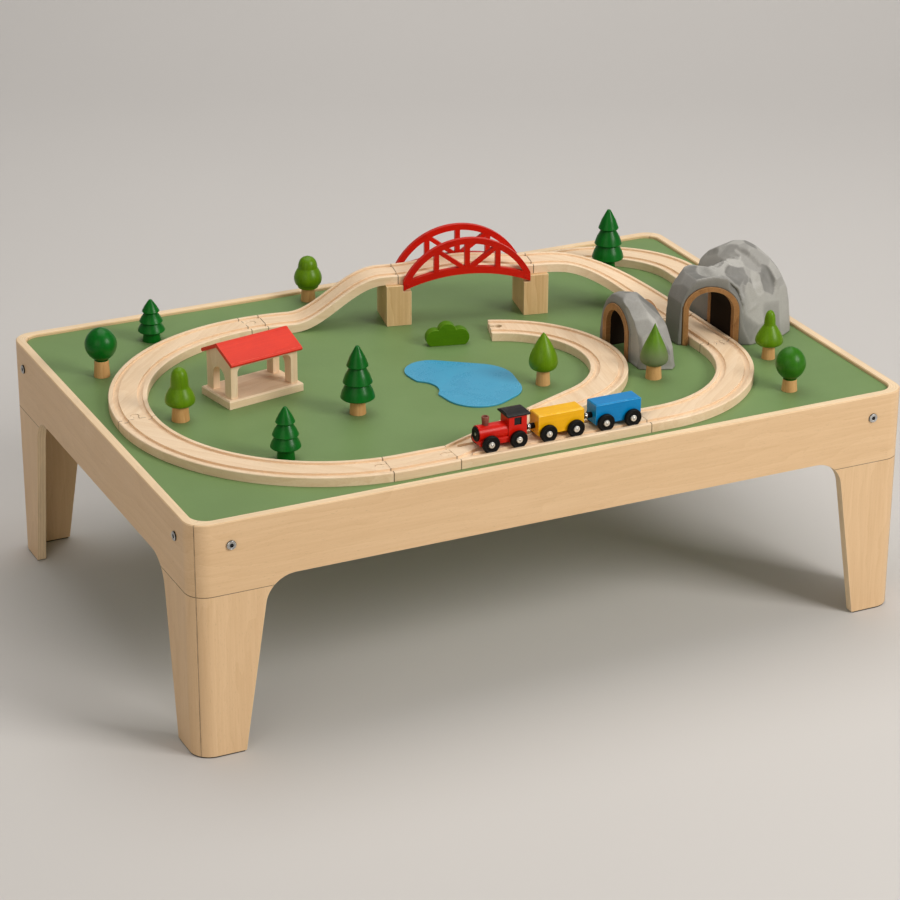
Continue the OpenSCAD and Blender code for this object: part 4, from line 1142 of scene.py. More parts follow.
    def lay_grain(self, data: bpy.types.Mesh, grain: Grain, node: str) -> None:
        """Writes the timber's own coordinates on a mesh.

        Args:
            data: The mesh.
            grain: The way the timber runs.
            node: The solid's name, which shifts the figure so that no two boards match.
        """
        count = len(data.vertices)
        flat = np.zeros(count * 3, np.float32)
        data.vertices.foreach_get("co", flat)
        places = flat.reshape(-1, 3)
        if grain is Grain.UPRIGHT:
            axes = np.array([[0.0, 0.0, 1.0], [1.0, 0.0, 0.0], [0.0, 1.0, 0.0]])
        elif grain is Grain.ALONG_Y:
            axes = np.array([[0.0, 1.0, 0.0], [0.0, 0.0, 1.0], [1.0, 0.0, 0.0]])
        elif grain is Grain.ALONG_X:
            axes = np.array([[1.0, 0.0, 0.0], [0.0, 0.0, 1.0], [0.0, 1.0, 0.0]])
        else:
            plan = places[:, :2] - places[:, :2].mean(axis=0)
            _, vectors = np.linalg.eigh(plan.T @ plan)
            along = vectors[:, 1]
            axes = np.array([[along[0], along[1], 0.0], [-along[1], along[0], 0.0], [0.0, 0.0, 1.0]])
        turned = places @ axes.T
        shift = sum((i + 3) * ord(letter) for i, letter in enumerate(node)) % 97
        turned += np.array([0.37, 0.113, 0.071]) * shift
        layer = data.attributes.new("grain", "FLOAT_VECTOR", "POINT")
        layer.data.foreach_set("vector", turned.astype(np.float32).ravel())

    def flatten_shading(self, piece: bpy.types.Object) -> None:
        """Weights the normals by area, so that flat faces look flat beside their broken edges.

        Args:
            piece: The piece.
        """
        modifier = piece.modifiers.new("weights", "WEIGHTED_NORMAL")
        modifier.keep_sharp = True
        modifier.weight = 100
        self.settle(piece)

    def settle(self, piece: bpy.types.Object) -> None:
        """Turns a piece with modifiers into a plain mesh.

        Args:
            piece: The piece, whose modifiers are removed.
        """
        bpy.context.view_layer.update()
        graph = bpy.context.evaluated_depsgraph_get()
        plain = bpy.data.meshes.new_from_object(piece.evaluated_get(graph), depsgraph=graph)
        piece.modifiers.clear()
        old = piece.data
        piece.data = plain
        plain.name = old.name
        bpy.data.meshes.remove(old)

    def fit(self, piece: bpy.types.Object, node: str) -> bpy.types.Object:
        """Lets a piece stand for a solid: it rides on its body and the solid is hidden.

        Args:
            piece: The piece.
            node: The solid's name.

        Returns:
            The piece.
        """
        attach(piece, self.body_of(node))
        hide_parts(node)
        self.pieces.append(piece.name)
        LOG.info("%s stands for %s, %d faces", piece.name, node, len(piece.data.polygons))
        return piece

    def add(self, piece: bpy.types.Object, node: str) -> bpy.types.Object:
        """Adds a further piece to the body of a solid.

        Args:
            piece: The piece.
            node: The solid's name.

        Returns:
            The piece.
        """
        body = self.body_of(node)
        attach(piece, body)
        self.pieces.append(piece.name)
        LOG.info("%s rides on %s, %d faces", piece.name, body, len(piece.data.polygons))
        return piece


class GeometryTree:
    """A Geometry Nodes tree with named inputs, which ends in real geometry with one finish."""

    name: str = "tree"
    inputs: dict[str, Socket] = {}
    output: str = "Mesh"

    def tree(self) -> bpy.types.NodeTree:
        """Gives the tree, built on first use.

        Returns:
            The Geometry Nodes group.
        """
        found = bpy.data.node_groups.get(self.name)
        if found is not None:
            return found
        tree = bpy.data.node_groups.new(self.name, "GeometryNodeTree")
        for label, kind in self.inputs.items():
            tree.interface.new_socket(label, in_out="INPUT", socket_type=kind.value)
        tree.interface.new_socket(self.output, in_out="OUTPUT", socket_type=Socket.MESH.value)
        graph = Graph(tree)
        entry = graph.add("NodeGroupInput").outputs
        real = graph.add("GeometryNodeRealizeInstances")
        graph.put(real.inputs[0], self.wire(graph, entry))
        paint = graph.add("GeometryNodeSetMaterial")
        graph.put(paint.inputs["Geometry"], real.outputs[0])
        graph.put(paint.inputs["Material"], entry["Finish"])
        leave = graph.add("NodeGroupOutput")
        graph.put(leave.inputs[0], paint.outputs[0])
        return tree

    def wire(self, graph: Graph, entry: bpy.types.NodeOutputs) -> bpy.types.NodeSocket:
        """Builds the tree's own nodes.

        Args:
            graph: The tree's graph.
            entry: The tree's inputs.

        Returns:
            The socket of the geometry that gets the finish.
        """
        raise NotImplementedError

    def put_on(self, piece: bpy.types.Object, values: dict[str, object]) -> None:
        """Puts the tree on a piece and sets its inputs by their sockets' identifiers.

        Args:
            piece: The piece.
            values: The inputs' values by name.
        """
        modifier = piece.modifiers.new(self.name, "NODES")
        modifier.node_group = self.tree()
        sockets = {
            item.name: item.identifier
            for item in modifier.node_group.interface.items_tree
            if item.item_type == "SOCKET" and item.in_out == "INPUT"
        }
        for label, value in values.items():
            modifier[sockets[label]] = value


class StudTree(GeometryTree):
    """Geometry Nodes that set a low round stud on each point, facing the way the point says."""

    name = "studs on points"
    inputs = {
        "Points": Socket.MESH,
        "Radius": Socket.VALUE,
        "Height": Socket.VALUE,
        "Crown": Socket.VALUE,
        "Dimple": Socket.VALUE,
        "Sides": Socket.COUNT,
        "Finish": Socket.FINISH,
    }
    output = "Studs"
    slope: float = 0.3
    rim: float = 0.55
    pit: float = 0.32
    weld: float = 1.0e-6

    def wire(self, graph: Graph, entry: bpy.types.NodeOutputs) -> bpy.types.NodeSocket:
        """Builds the stud from three cones and sets it on the points.

        Args:
            graph: The tree's graph.
            entry: The tree's inputs.

        Returns:
            The socket of the studs.
        """
        shoulder = graph.math("SUBTRACT", entry["Radius"], graph.math("MULTIPLY", entry["Crown"], self.slope))
        rim = graph.math("MULTIPLY", entry["Radius"], self.rim)
        pit = graph.math("MULTIPLY", entry["Radius"], self.pit)
        skirt = graph.math("SUBTRACT", entry["Height"], entry["Crown"])
        floor = graph.math("SUBTRACT", entry["Height"], entry["Dimple"])
        join = graph.add("GeometryNodeJoinGeometry")
        for fill, top, bottom, depth, height in (
            ("NONE", shoulder, entry["Radius"], skirt, 0.0),
            ("NONE", rim, shoulder, entry["Crown"], skirt),
            ("NGON", rim, pit, entry["Dimple"], floor),
        ):
            cone = graph.add("GeometryNodeMeshCone", fill_type=fill)
            graph.put(cone.inputs["Vertices"], entry["Sides"])
            graph.put(cone.inputs["Radius Top"], top)
            graph.put(cone.inputs["Radius Bottom"], bottom)
            graph.put(cone.inputs["Depth"], depth)
            shift = graph.add("ShaderNodeCombineXYZ")
            graph.put(shift.inputs[2], height)
            move = graph.add("GeometryNodeTransform")
            graph.put(move.inputs["Geometry"], cone.outputs["Mesh"])
            graph.put(move.inputs["Translation"], shift.outputs[0])
            graph.put(join.inputs[0], move.outputs[0])
        weld = graph.add("GeometryNodeMergeByDistance")
        graph.put(weld.inputs["Geometry"], join.outputs[0])
        weld.inputs["Distance"].default_value = self.weld
        facing = graph.add("GeometryNodeInputNamedAttribute", data_type="FLOAT_VECTOR")
        facing.inputs["Name"].default_value = "facing"
        turn = graph.add("FunctionNodeAlignRotationToVector", axis="Z")
        graph.put(turn.inputs["Vector"], facing.outputs["Attribute"])
        spread = graph.add("GeometryNodeInstanceOnPoints")
        graph.put(spread.inputs["Points"], entry["Points"])
        graph.put(spread.inputs["Instance"], weld.outputs[0])
        graph.put(spread.inputs["Rotation"], turn.outputs[0])
        return spread.outputs[0]

    def set(
        self,
        shop: Workshop,
        name: str,
        node: str,
        spots: Sequence[tuple[Vector, Vector]],
        radius: float,
        height: float,
        crown: float = 0.0004,
        dimple: float = 0.0002,
        sides: int = 28,
    ) -> bpy.types.Object:
        """Sets steel studs on the body of a solid.

        Args:
            shop: The workshop.
            name: Name of the piece.
            node: The solid's name.
            spots: Place and facing of each stud.
            radius: Radius of a stud.
            height: How far it stands out.
            crown: Height of the broken upper edge.
            dimple: Depth of the dimple in its middle.
            sides: Number of sides.

        Returns:
            The piece with all the studs.
        """
        data = bpy.data.meshes.new(name)
        data.from_pydata([tuple(place) for place, _ in spots], [], [])
        layer = data.attributes.new("facing", "FLOAT_VECTOR", "POINT")
        layer.data.foreach_set("vector", [c for _, facing in spots for c in facing])
        piece = bpy.data.objects.new(name, data)
        bpy.context.scene.collection.objects.link(piece)
        values = {
            "Radius": radius,
            "Height": height,
            "Crown": crown,
            "Dimple": dimple,
            "Sides": sides,
            "Finish": STEEL.material(),
        }
        self.put_on(piece, values)
        shop.settle(piece)
        for polygon in piece.data.polygons:
            polygon.use_smooth = True
        piece.data.set_sharp_from_angle(angle=math.radians(STUD_SHARP))
        return shop.add(piece, node)


class CarvingTree(GeometryTree):
    """Geometry Nodes that plane a dense mesh with flat knife cuts spread over it."""

    name = "knife cuts"
    inputs = {
        "Rock": Socket.MESH,
        "Cut Width": Socket.VALUE,
        "Stretch": Socket.VALUE,
        "Depth": Socket.VALUE,
        "Spread": Socket.VALUE,
        "Reach": Socket.VALUE,
        "Limit": Socket.VALUE,
        "Fill": Socket.VALUE,
        "Seed": Socket.COUNT,
        "Finish": Socket.FINISH,
    }
    output = "Carved"
    density: float = 60000.0
    lean_rounds: int = 9
    fold_rounds: int = 160
    rub_rounds: int = 3
    shade_rounds: int = 1
    fold_depth: float = 0.0012
    fold_guard: float = 1100.0
    ridge_falloff: float = 900.0
    least_cut: float = 1.0e-5
    least_lean: float = 0.3
    fade: float = 0.03
    far_band: tuple[float, float] = (0.6, 1.0)
    lean_band: tuple[float, float] = (0.45, 0.8)
    fold_band: tuple[float, float] = (0.0003, 0.0009)
    seat_band: tuple[float, float] = (0.5, 0.8)

    def wire(self, graph: Graph, entry: bpy.types.NodeOutputs) -> bpy.types.NodeSocket:
        """Fills the rock's folds, planes it with the cuts and rubs it down.

        Args:
            graph: The tree's graph.
            entry: The tree's inputs.

        Returns:
            The socket of the carved rock.
        """
        filled = self.fill(graph, entry)
        cuts = self.spread(graph, entry, filled)
        carved = self.carve(graph, self.plane(graph, entry, filled, cuts))
        lined = self.store(graph, self.rub_down(graph, carved), "ridge", self.ridge(graph))
        shade = self.blurred(graph, self.read(graph, "shade"), self.shade_rounds, "FLOAT")
        return self.store(graph, lined, "shade", shade)

    def read(self, graph: Graph, name: str, kind: str = "FLOAT") -> bpy.types.NodeSocket:
        """Reads a named attribute.

        Args:
            graph: The tree's graph.
            name: The attribute's name.
            kind: The attribute's type.

        Returns:
            The socket of its value.
        """
        node = graph.add("GeometryNodeInputNamedAttribute", data_type=kind)
        node.inputs["Name"].default_value = name
        return node.outputs["Attribute"]

    def leaning(self, graph: Graph) -> bpy.types.NodeSocket:
        """Reads the way the surface leans, at length 1."""
        return graph.vector("NORMALIZE", self.read(graph, "lean", "FLOAT_VECTOR"))

    def store(
        self,
        graph: Graph,
        mesh: Socketlike,
        name: str,
        value: Socketlike,
        kind: str = "FLOAT",
    ) -> bpy.types.NodeSocket:
        """Writes a named attribute on the mesh's points.

        Args:
            graph: The tree's graph.
            mesh: The mesh's socket.
            name: The attribute's name.
            value: What is written.
            kind: The attribute's type.

        Returns:
            The socket of the mesh with the attribute.
        """
        node = graph.add("GeometryNodeStoreNamedAttribute", data_type=kind, domain="POINT")
        graph.put(node.inputs["Geometry"], mesh)
        node.inputs["Name"].default_value = name
        graph.put(node.inputs["Value"], value)
        return node.outputs[0]

    def blurred(
        self,
        graph: Graph,
        value: Socketlike,
        rounds: int,
        kind: str = "FLOAT_VECTOR",
    ) -> bpy.types.NodeSocket:
        """Blurs a value over the mesh.

        Args:
            graph: The tree's graph.
            value: The value's socket.
            rounds: How often it is blurred.
            kind: The value's type.

        Returns:
            The socket of the blurred value.
        """
        node = graph.add("GeometryNodeBlurAttribute", data_type=kind)
        graph.put(node.inputs["Value"], value)
        node.inputs["Iterations"].default_value = rounds
        return node.outputs[0]

    def upright(self, graph: Graph, factor: Socketlike) -> bpy.types.NodeSocket:
        """Gives a scale that changes the height alone.

        Args:
            graph: The tree's graph.
            factor: The scale of the height.

        Returns:
            The scale's socket.
        """
        scale = graph.add("ShaderNodeCombineXYZ")
        scale.inputs[0].default_value = 1.0
        scale.inputs[1].default_value = 1.0
        graph.put(scale.inputs[2], factor)
        return scale.outputs[0]

    def fill(self, graph: Graph, entry: bpy.types.NodeOutputs) -> bpy.types.NodeSocket:
        """Fills the folds of the rock softly and notes which way its surface leans.

        Args:
            graph: The tree's graph.
            entry: The tree's inputs.

        Returns:
            The socket of the filled mesh.
        """
        place = graph.add("GeometryNodeInputPosition").outputs[0]
        normal = graph.add("GeometryNodeInputNormal").outputs[0]
        lean = self.blurred(graph, normal, self.lean_rounds)
        leaned = self.store(graph, entry["Rock"], "lean", lean, "FLOAT_VECTOR")
        drawn = graph.vector("SUBTRACT", self.blurred(graph, place, self.fold_rounds), place)
        hollow = graph.math("MAXIMUM", graph.vector("DOT_PRODUCT", drawn, self.leaning(graph)), 0.0)
        noted = self.store(graph, leaned, "hollow", hollow)
        fold = graph.band(self.read(graph, "hollow"), 0.0, self.fold_depth)
        share = graph.math("MULTIPLY", graph.math("MULTIPLY", fold, entry["Fill"]), self.read(graph, "carve"))
        move = graph.add("GeometryNodeSetPosition")
        graph.put(move.inputs["Geometry"], noted)
        graph.put(move.inputs["Offset"], graph.vector("SCALE", drawn, scale=share))
        return move.outputs[0]

    def carve(self, graph: Graph, mesh: Socketlike) -> bpy.types.NodeSocket:
        """Moves each point inwards by the depth of its cut, but not in the folds.

        Args:
            graph: The tree's graph.
            mesh: The socket of the rock with the cuts noted on it.

        Returns:
            The socket of the carved mesh.
        """
        guard = graph.math("MULTIPLY", self.read(graph, "hollow"), self.fold_guard)
        convex = graph.math("SUBTRACT", 1.0, guard, clamp=True)
        share = graph.math("MULTIPLY", self.read(graph, "carve"), convex)
        inward = graph.math("MULTIPLY", graph.math("MULTIPLY", self.read(graph, "cut"), share), -1.0)
        move = graph.add("GeometryNodeSetPosition")
        graph.put(move.inputs["Geometry"], mesh)
        graph.put(move.inputs["Offset"], graph.vector("SCALE", self.leaning(graph), scale=inward))
        return move.outputs[0]

    def ridge(self, graph: Graph) -> bpy.types.NodeSocket:
        """Finds the lines where two cuts meet.

        Args:
            graph: The tree's graph.

        Returns:
            The socket of the lines' strength.
        """
        apart = graph.math("SUBTRACT", self.read(graph, "cut"), self.read(graph, "next_cut"))
        line = graph.math("SUBTRACT", 1.0, graph.math("MULTIPLY", apart, self.ridge_falloff), clamp=True)
        shown = graph.math("GREATER_THAN", self.read(graph, "cut"), self.least_cut)
        return graph.math("MULTIPLY", line, shown)

    def rub_down(self, graph: Graph, mesh: Socketlike) -> bpy.types.NodeSocket:
        """Rubs the carved surface down a little, so that the cuts meet in soft edges.

        Args:
            graph: The tree's graph.
            mesh: The carved mesh's socket.

        Returns:
            The socket of the rubbed mesh.
        """
        place = graph.add("GeometryNodeInputPosition").outputs[0]
        drawn = graph.vector("SUBTRACT", self.blurred(graph, place, self.rub_rounds), place)
        move = graph.add("GeometryNodeSetPosition")
        graph.put(move.inputs["Geometry"], mesh)
        graph.put(move.inputs["Offset"], graph.vector("SCALE", drawn, scale=self.read(graph, "carve")))
        return move.outputs[0]

    def spread(self, graph: Graph, entry: bpy.types.NodeOutputs, mesh: Socketlike) -> bpy.types.NodeSocket:
        """Spreads the middles of the cuts over the rock, further apart upwards than sideways.

        Args:
            graph: The tree's graph.
            entry: The tree's inputs.
            mesh: The rock's socket.

        Returns:
            The socket of the points.
        """
        ends = []
        for stretch in (graph.math("DIVIDE", 1.0, entry["Stretch"]), entry["Stretch"]):
            resize = graph.add("GeometryNodeTransform")
            graph.put(resize.inputs["Scale"], self.upright(graph, stretch))
            ends.append(resize)
        low, high = ends
        graph.put(low.inputs["Geometry"], mesh)
        scatter = graph.add("GeometryNodeDistributePointsOnFaces", distribute_method="POISSON")
        graph.put(scatter.inputs["Mesh"], low.outputs[0])
        graph.put(scatter.inputs["Distance Min"], entry["Cut Width"])
        scatter.inputs["Density Max"].default_value = self.density
        graph.put(scatter.inputs["Seed"], entry["Seed"])
        graph.put(high.inputs["Geometry"], scatter.outputs["Points"])
        return high.outputs[0]

    def pick_cut(self, graph: Graph, cuts: Socketlike, turn: Socketlike) -> dict[str, bpy.types.NodeSocket]:
        """Reads the values of the cut whose turn it is.

        Args:
            graph: The tree's graph.
            cuts: The socket of the cuts' middles.
            turn: The socket of the cut's number.

        Returns:
            The sockets of its place, lean, fold and freedom.
        """
        picks = {}
        for name, value, kind in (
            ("place", graph.add("GeometryNodeInputPosition").outputs[0], "FLOAT_VECTOR"),
            ("lean", self.read(graph, "lean", "FLOAT_VECTOR"), "FLOAT_VECTOR"),
            ("hollow", self.read(graph, "hollow"), "FLOAT"),
            ("carve", self.read(graph, "carve"), "FLOAT"),
        ):
            pick = graph.add("GeometryNodeSampleIndex", data_type=kind, domain="POINT")
            graph.put(pick.inputs["Geometry"], cuts)
            graph.put(pick.inputs["Value"], value)
            graph.put(pick.inputs["Index"], turn)
            picks[name] = pick.outputs[0]
        return picks

    def draw(
        self,
        graph: Graph,
        entry: bpy.types.NodeOutputs,
        turn: Socketlike,
        extra: int,
    ) -> bpy.types.NodeSocket:
        """Draws a random value for the cut whose turn it is.

        Args:
            graph: The tree's graph.
            entry: The tree's inputs.
            turn: The socket of the cut's number.
            extra: What is added to the seed.

        Returns:
            The socket of a value from 0 to 1.
        """
        node = graph.add("FunctionNodeRandomValue", data_type="FLOAT")
        graph.put(node.inputs["ID"], turn)
        graph.put(node.inputs["Seed"], graph.math("ADD", entry["Seed"], float(extra)))
        return node.outputs[1]

    def bite(
        self,
        graph: Graph,
        entry: bpy.types.NodeOutputs,
        picks: dict[str, bpy.types.NodeSocket],
        depth: Socketlike,
    ) -> bpy.types.NodeSocket:
        """Measures how deep one cut goes at each point of the rock.

        Args:
            graph: The tree's graph.
            entry: The tree's inputs.
            picks: The cut's values by name.
            depth: The socket of the depth at its middle.

        Returns:
            The socket of the depth, below 0 where the cut is too far off or faces another way.
        """
        place = graph.add("GeometryNodeInputPosition").outputs[0]
        lean = graph.vector("NORMALIZE", picks["lean"])
        apart = graph.vector("SUBTRACT", place, picks["place"])
        over = graph.math("ADD", graph.vector("DOT_PRODUCT", apart, lean), depth)
        squash = self.upright(graph, graph.math("DIVIDE", 1.0, entry["Stretch"]))
        gap = graph.vector("LENGTH", graph.vector("MULTIPLY", apart, squash))
        agree = graph.vector("DOT_PRODUCT", self.leaning(graph), lean)
        along = graph.math("DIVIDE", over, graph.math("MAXIMUM", agree, self.least_lean))
        far = graph.band(graph.math("DIVIDE", gap, entry["Reach"]), *self.far_band, 0.0, self.fade)
        aside = graph.band(agree, *self.lean_band, self.fade, 0.0)
        folded = graph.band(picks["hollow"], *self.fold_band, 0.0, self.fade)
        seated = graph.band(picks["carve"], *self.seat_band, self.fade, 0.0)
        lift = graph.math("ADD", graph.math("ADD", far, aside), graph.math("ADD", folded, seated))
        return graph.math("SUBTRACT", graph.math("MINIMUM", along, entry["Limit"]), lift)

    def plane(
        self,
        graph: Graph,
        entry: bpy.types.NodeOutputs,
        mesh: Socketlike,
        cuts: Socketlike,
    ) -> bpy.types.NodeSocket:
        """Finds, for each point of the rock, the deepest cut that takes it away.

        Args:
            graph: The tree's graph.
            entry: The tree's inputs.
            mesh: The rock's socket.
            cuts: The socket of the cuts' middles.

        Returns:
            The socket of the rock with the cuts noted on it.
        """
        started = mesh
        for name, value in (("cut", 0.0), ("next_cut", 0.0), ("shade", 0.5)):
            started = self.store(graph, started, name, value)
        count = graph.add("GeometryNodeAttributeDomainSize", component="POINTCLOUD")
        graph.put(count.inputs[0], cuts)
        first = graph.add("GeometryNodeRepeatInput")
        last = graph.add("GeometryNodeRepeatOutput")
        first.pair_with_output(last)
        graph.put(first.inputs["Iterations"], count.outputs["Point Count"])
        graph.put(first.inputs["Geometry"], started)
        turn = first.outputs["Iteration"]
        depth_draw = self.draw(graph, entry, turn, 0)
        shade_draw = self.draw(graph, entry, turn, 1)
        depth = graph.math("ADD", entry["Depth"], graph.math("MULTIPLY", depth_draw, entry["Spread"]))
        here = self.bite(graph, entry, self.pick_cut(graph, cuts, turn), depth)
        held = self.read(graph, "cut")
        wins = graph.math("GREATER_THAN", here, held)
        second = graph.math("MAXIMUM", graph.math("MINIMUM", held, here), self.read(graph, "next_cut"))
        stage = self.store(graph, first.outputs["Geometry"], "next_cut", second)
        swap = graph.add("GeometryNodeSwitch", input_type="FLOAT")
        graph.put(swap.inputs["Switch"], wins)
        graph.put(swap.inputs["False"], self.read(graph, "shade"))
        graph.put(swap.inputs["True"], shade_draw)
        stage = self.store(graph, stage, "shade", swap.outputs[0])
        stage = self.store(graph, stage, "cut", graph.math("MAXIMUM", held, here))
        graph.put(last.inputs["Geometry"], stage)
        return last.outputs["Geometry"]


@dataclass
class TableFrame:
    """The plywood table: rails, legs, hidden framing, bolts and pads."""

    half_length: float = HALF_LENGTH
    half_width: float = HALF_WIDTH
    corner: float = 0.032
    slope_step: float = 1.0e-4
    cut_lean: float = 0.55
    socket_depth: float = 0.0022
    rails: tuple[str, ...] = ("rail_front", "rail_back", "rail_left", "rail_right")
    legs: tuple[str, ...] = ("leg_front_left", "leg_front_right", "leg_back_left", "leg_back_right")

    def depth_under_face(self, x: float, y: float) -> float:
        """How deep a point in plan lies under the table's outer face.

        Args:
            x: Place along the table.
            y: Place across it.

        Returns:
            The depth in metres.
        """
        over_x = abs(x) - self.half_length + self.corner
        over_y = abs(y) - self.half_width + self.corner
        outside = math.hypot(max(over_x, 0.0), max(over_y, 0.0))
        inside = min(max(over_x, over_y), 0.0)
        return self.corner - outside - inside

    def write_depth(self, piece: bpy.types.Object) -> None:
        """Writes each point's depth under the outer face, for the ply layers.

        Args:
            piece: The dressed board.
        """
        data = piece.data
        layer = data.attributes.new("depth", "FLOAT", "POINT")
        layer.data.foreach_set("value", [self.depth_under_face(v.co.x, v.co.y) for v in data.vertices])

    def facing(self, x: float, y: float) -> Vector:
        """The outward direction of the nearest outer face in plan.

        Args:
            x: Place along the table.
            y: Place across it.

        Returns:
            A direction of length 1, or straight up where there is none.
        """
        step = self.slope_step
        slope_x = self.depth_under_face(x + step, y) - self.depth_under_face(x - step, y)
        slope_y = self.depth_under_face(x, y + step) - self.depth_under_face(x, y - step)
        out = Vector((-slope_x, -slope_y, 0.0))
        return out.normalized() if out.length > 0.0 else Vector((0.0, 0.0, 1.0))

    def is_cut(self, middle: Vector, normal: Vector) -> int:
        """Tells the cut edges of a board from its faces."""
        return 1 if abs(normal.dot(self.facing(middle.x, middle.y))) < self.cut_lean else 0

    def is_socket(self, middle: Vector, normal: Vector) -> int:
        """Tells the inside of a bolt's socket, painted dark as shade, from its head."""
        return 1 if -self.socket_depth < self.depth_under_face(middle.x, middle.y) < 0.0 else 0

    def board(self, shop: Workshop, node: str, grain: Grain, meets: Sequence[str]) -> None:
        """Dresses one plywood board with its layers."""
        self.write_depth(shop.dress(node, (PLY_FACE, PLY_EDGE), self.is_cut, 0.0007, grain, meets=meets))

    def build(self, shop: Workshop) -> None:
        """Dresses the rails, the legs and the framing.

        Args:
            shop: The workshop.
        """
        for node in self.rails:
            grain = Grain.ALONG_X if node in ("rail_front", "rail_back") else Grain.ALONG_Y
            self.board(shop, node, grain, self.legs)
        for node in self.legs:
            self.board(shop, node, Grain.UPRIGHT, self.rails)
        shop.dress("corner_blocks", (PINE,), edge=0.001, grain=Grain.UPRIGHT)
        shop.dress("board_battens", (PINE,), edge=0.001, grain=Grain.ALONG_X)
        shop.dress("foot_pads", (PAD_RUBBER,), edge=0.0003)
        # The bolts' sockets get black painted shade.
        shop.dress("rail_bolts", (STEEL, RECESS_SHADE), self.is_socket, 0.0004)
        shop.dress("play_board", (GREEN_SHEET,), edge=0.0005)


@dataclass
class Railway:
    """The wooden track pieces."""

    nodes: tuple[str, ...] = (
        "straight_left",
        "curve_left_front",
        "curve_left_back",
        "joint_back",
        "ramp_left",
        "bridge_deck",
        "ramp_right",
        "straight_tunnel",
        "curve_right",
        "switch_front",
        "siding",
        "spur",
    )

    def build(self, shop: Workshop) -> None:
        """Dresses every track piece in sanded beech."""
        for node in self.nodes:
            shop.dress(node, (BEECH,), edge=0.0005, sharp=28.0, meets=self.nodes)


@dataclass
class Bridge:
    """The red truss arches and their piers."""

    def build(self, shop: Workshop) -> None:
        """Dresses the arches and the piers."""
        shop.dress("bridge_arches", (RED_PAINT,), edge=0.0006)
        shop.dress("bridge_piers", (PINE,), edge=0.0008, grain=Grain.UPRIGHT)


@dataclass
class Station:
    """The open station hall."""

    def build(self, shop: Workshop) -> None:
        """Dresses base, gables and roof.

        Args:
            shop: The workshop.
        """
        shop.dress("station_base", (BEECH,), edge=0.0006)
        shop.dress("station_gables", (BEECH,), edge=0.0005, grain=Grain.UPRIGHT)
        shop.dress("station_roof", (ROOF_PAINT,), edge=0.0016)


@dataclass(frozen=True)
class Bore:
    """An arched way into a rock, along X or along Y, with its timber lining."""

    way: Grain
    middle: float
    low: float
    high: float
    half: float
    spring: float
    lining: float = 0.0085
    mouth_shade_reach: float = 0.026
    wall: float = 0.0015

    def off_axis(self, place: Vector) -> float:
        """How far a point is from the middle of the arch, seen along the way."""
        across = place.x - self.middle if self.way is Grain.ALONG_Y else place.y - self.middle
        return math.hypot(across, max(0.0, place.z - BOARD_TOP - self.spring))

    def off_end(self, place: Vector) -> float:
        """How far a point lies beyond the ends of the way."""
        along = place.y if self.way is Grain.ALONG_Y else place.x
        return max(self.low - along, along - self.high, 0.0)

    def mouth_shade(self, place: Vector) -> float:
        """How much the painted shade round the mouth covers a point."""
        off_ring = max(self.off_axis(place) - self.half - self.lining, 0.0)
        return max(0.0, 1.0 - math.hypot(off_ring, self.off_end(place)) / self.mouth_shade_reach)

    def holds(self, place: Vector) -> bool:
        """Tells the wall of the way from the rock's outside."""
        return self.off_axis(place) < self.half + self.wall and self.off_end(place) == 0.0


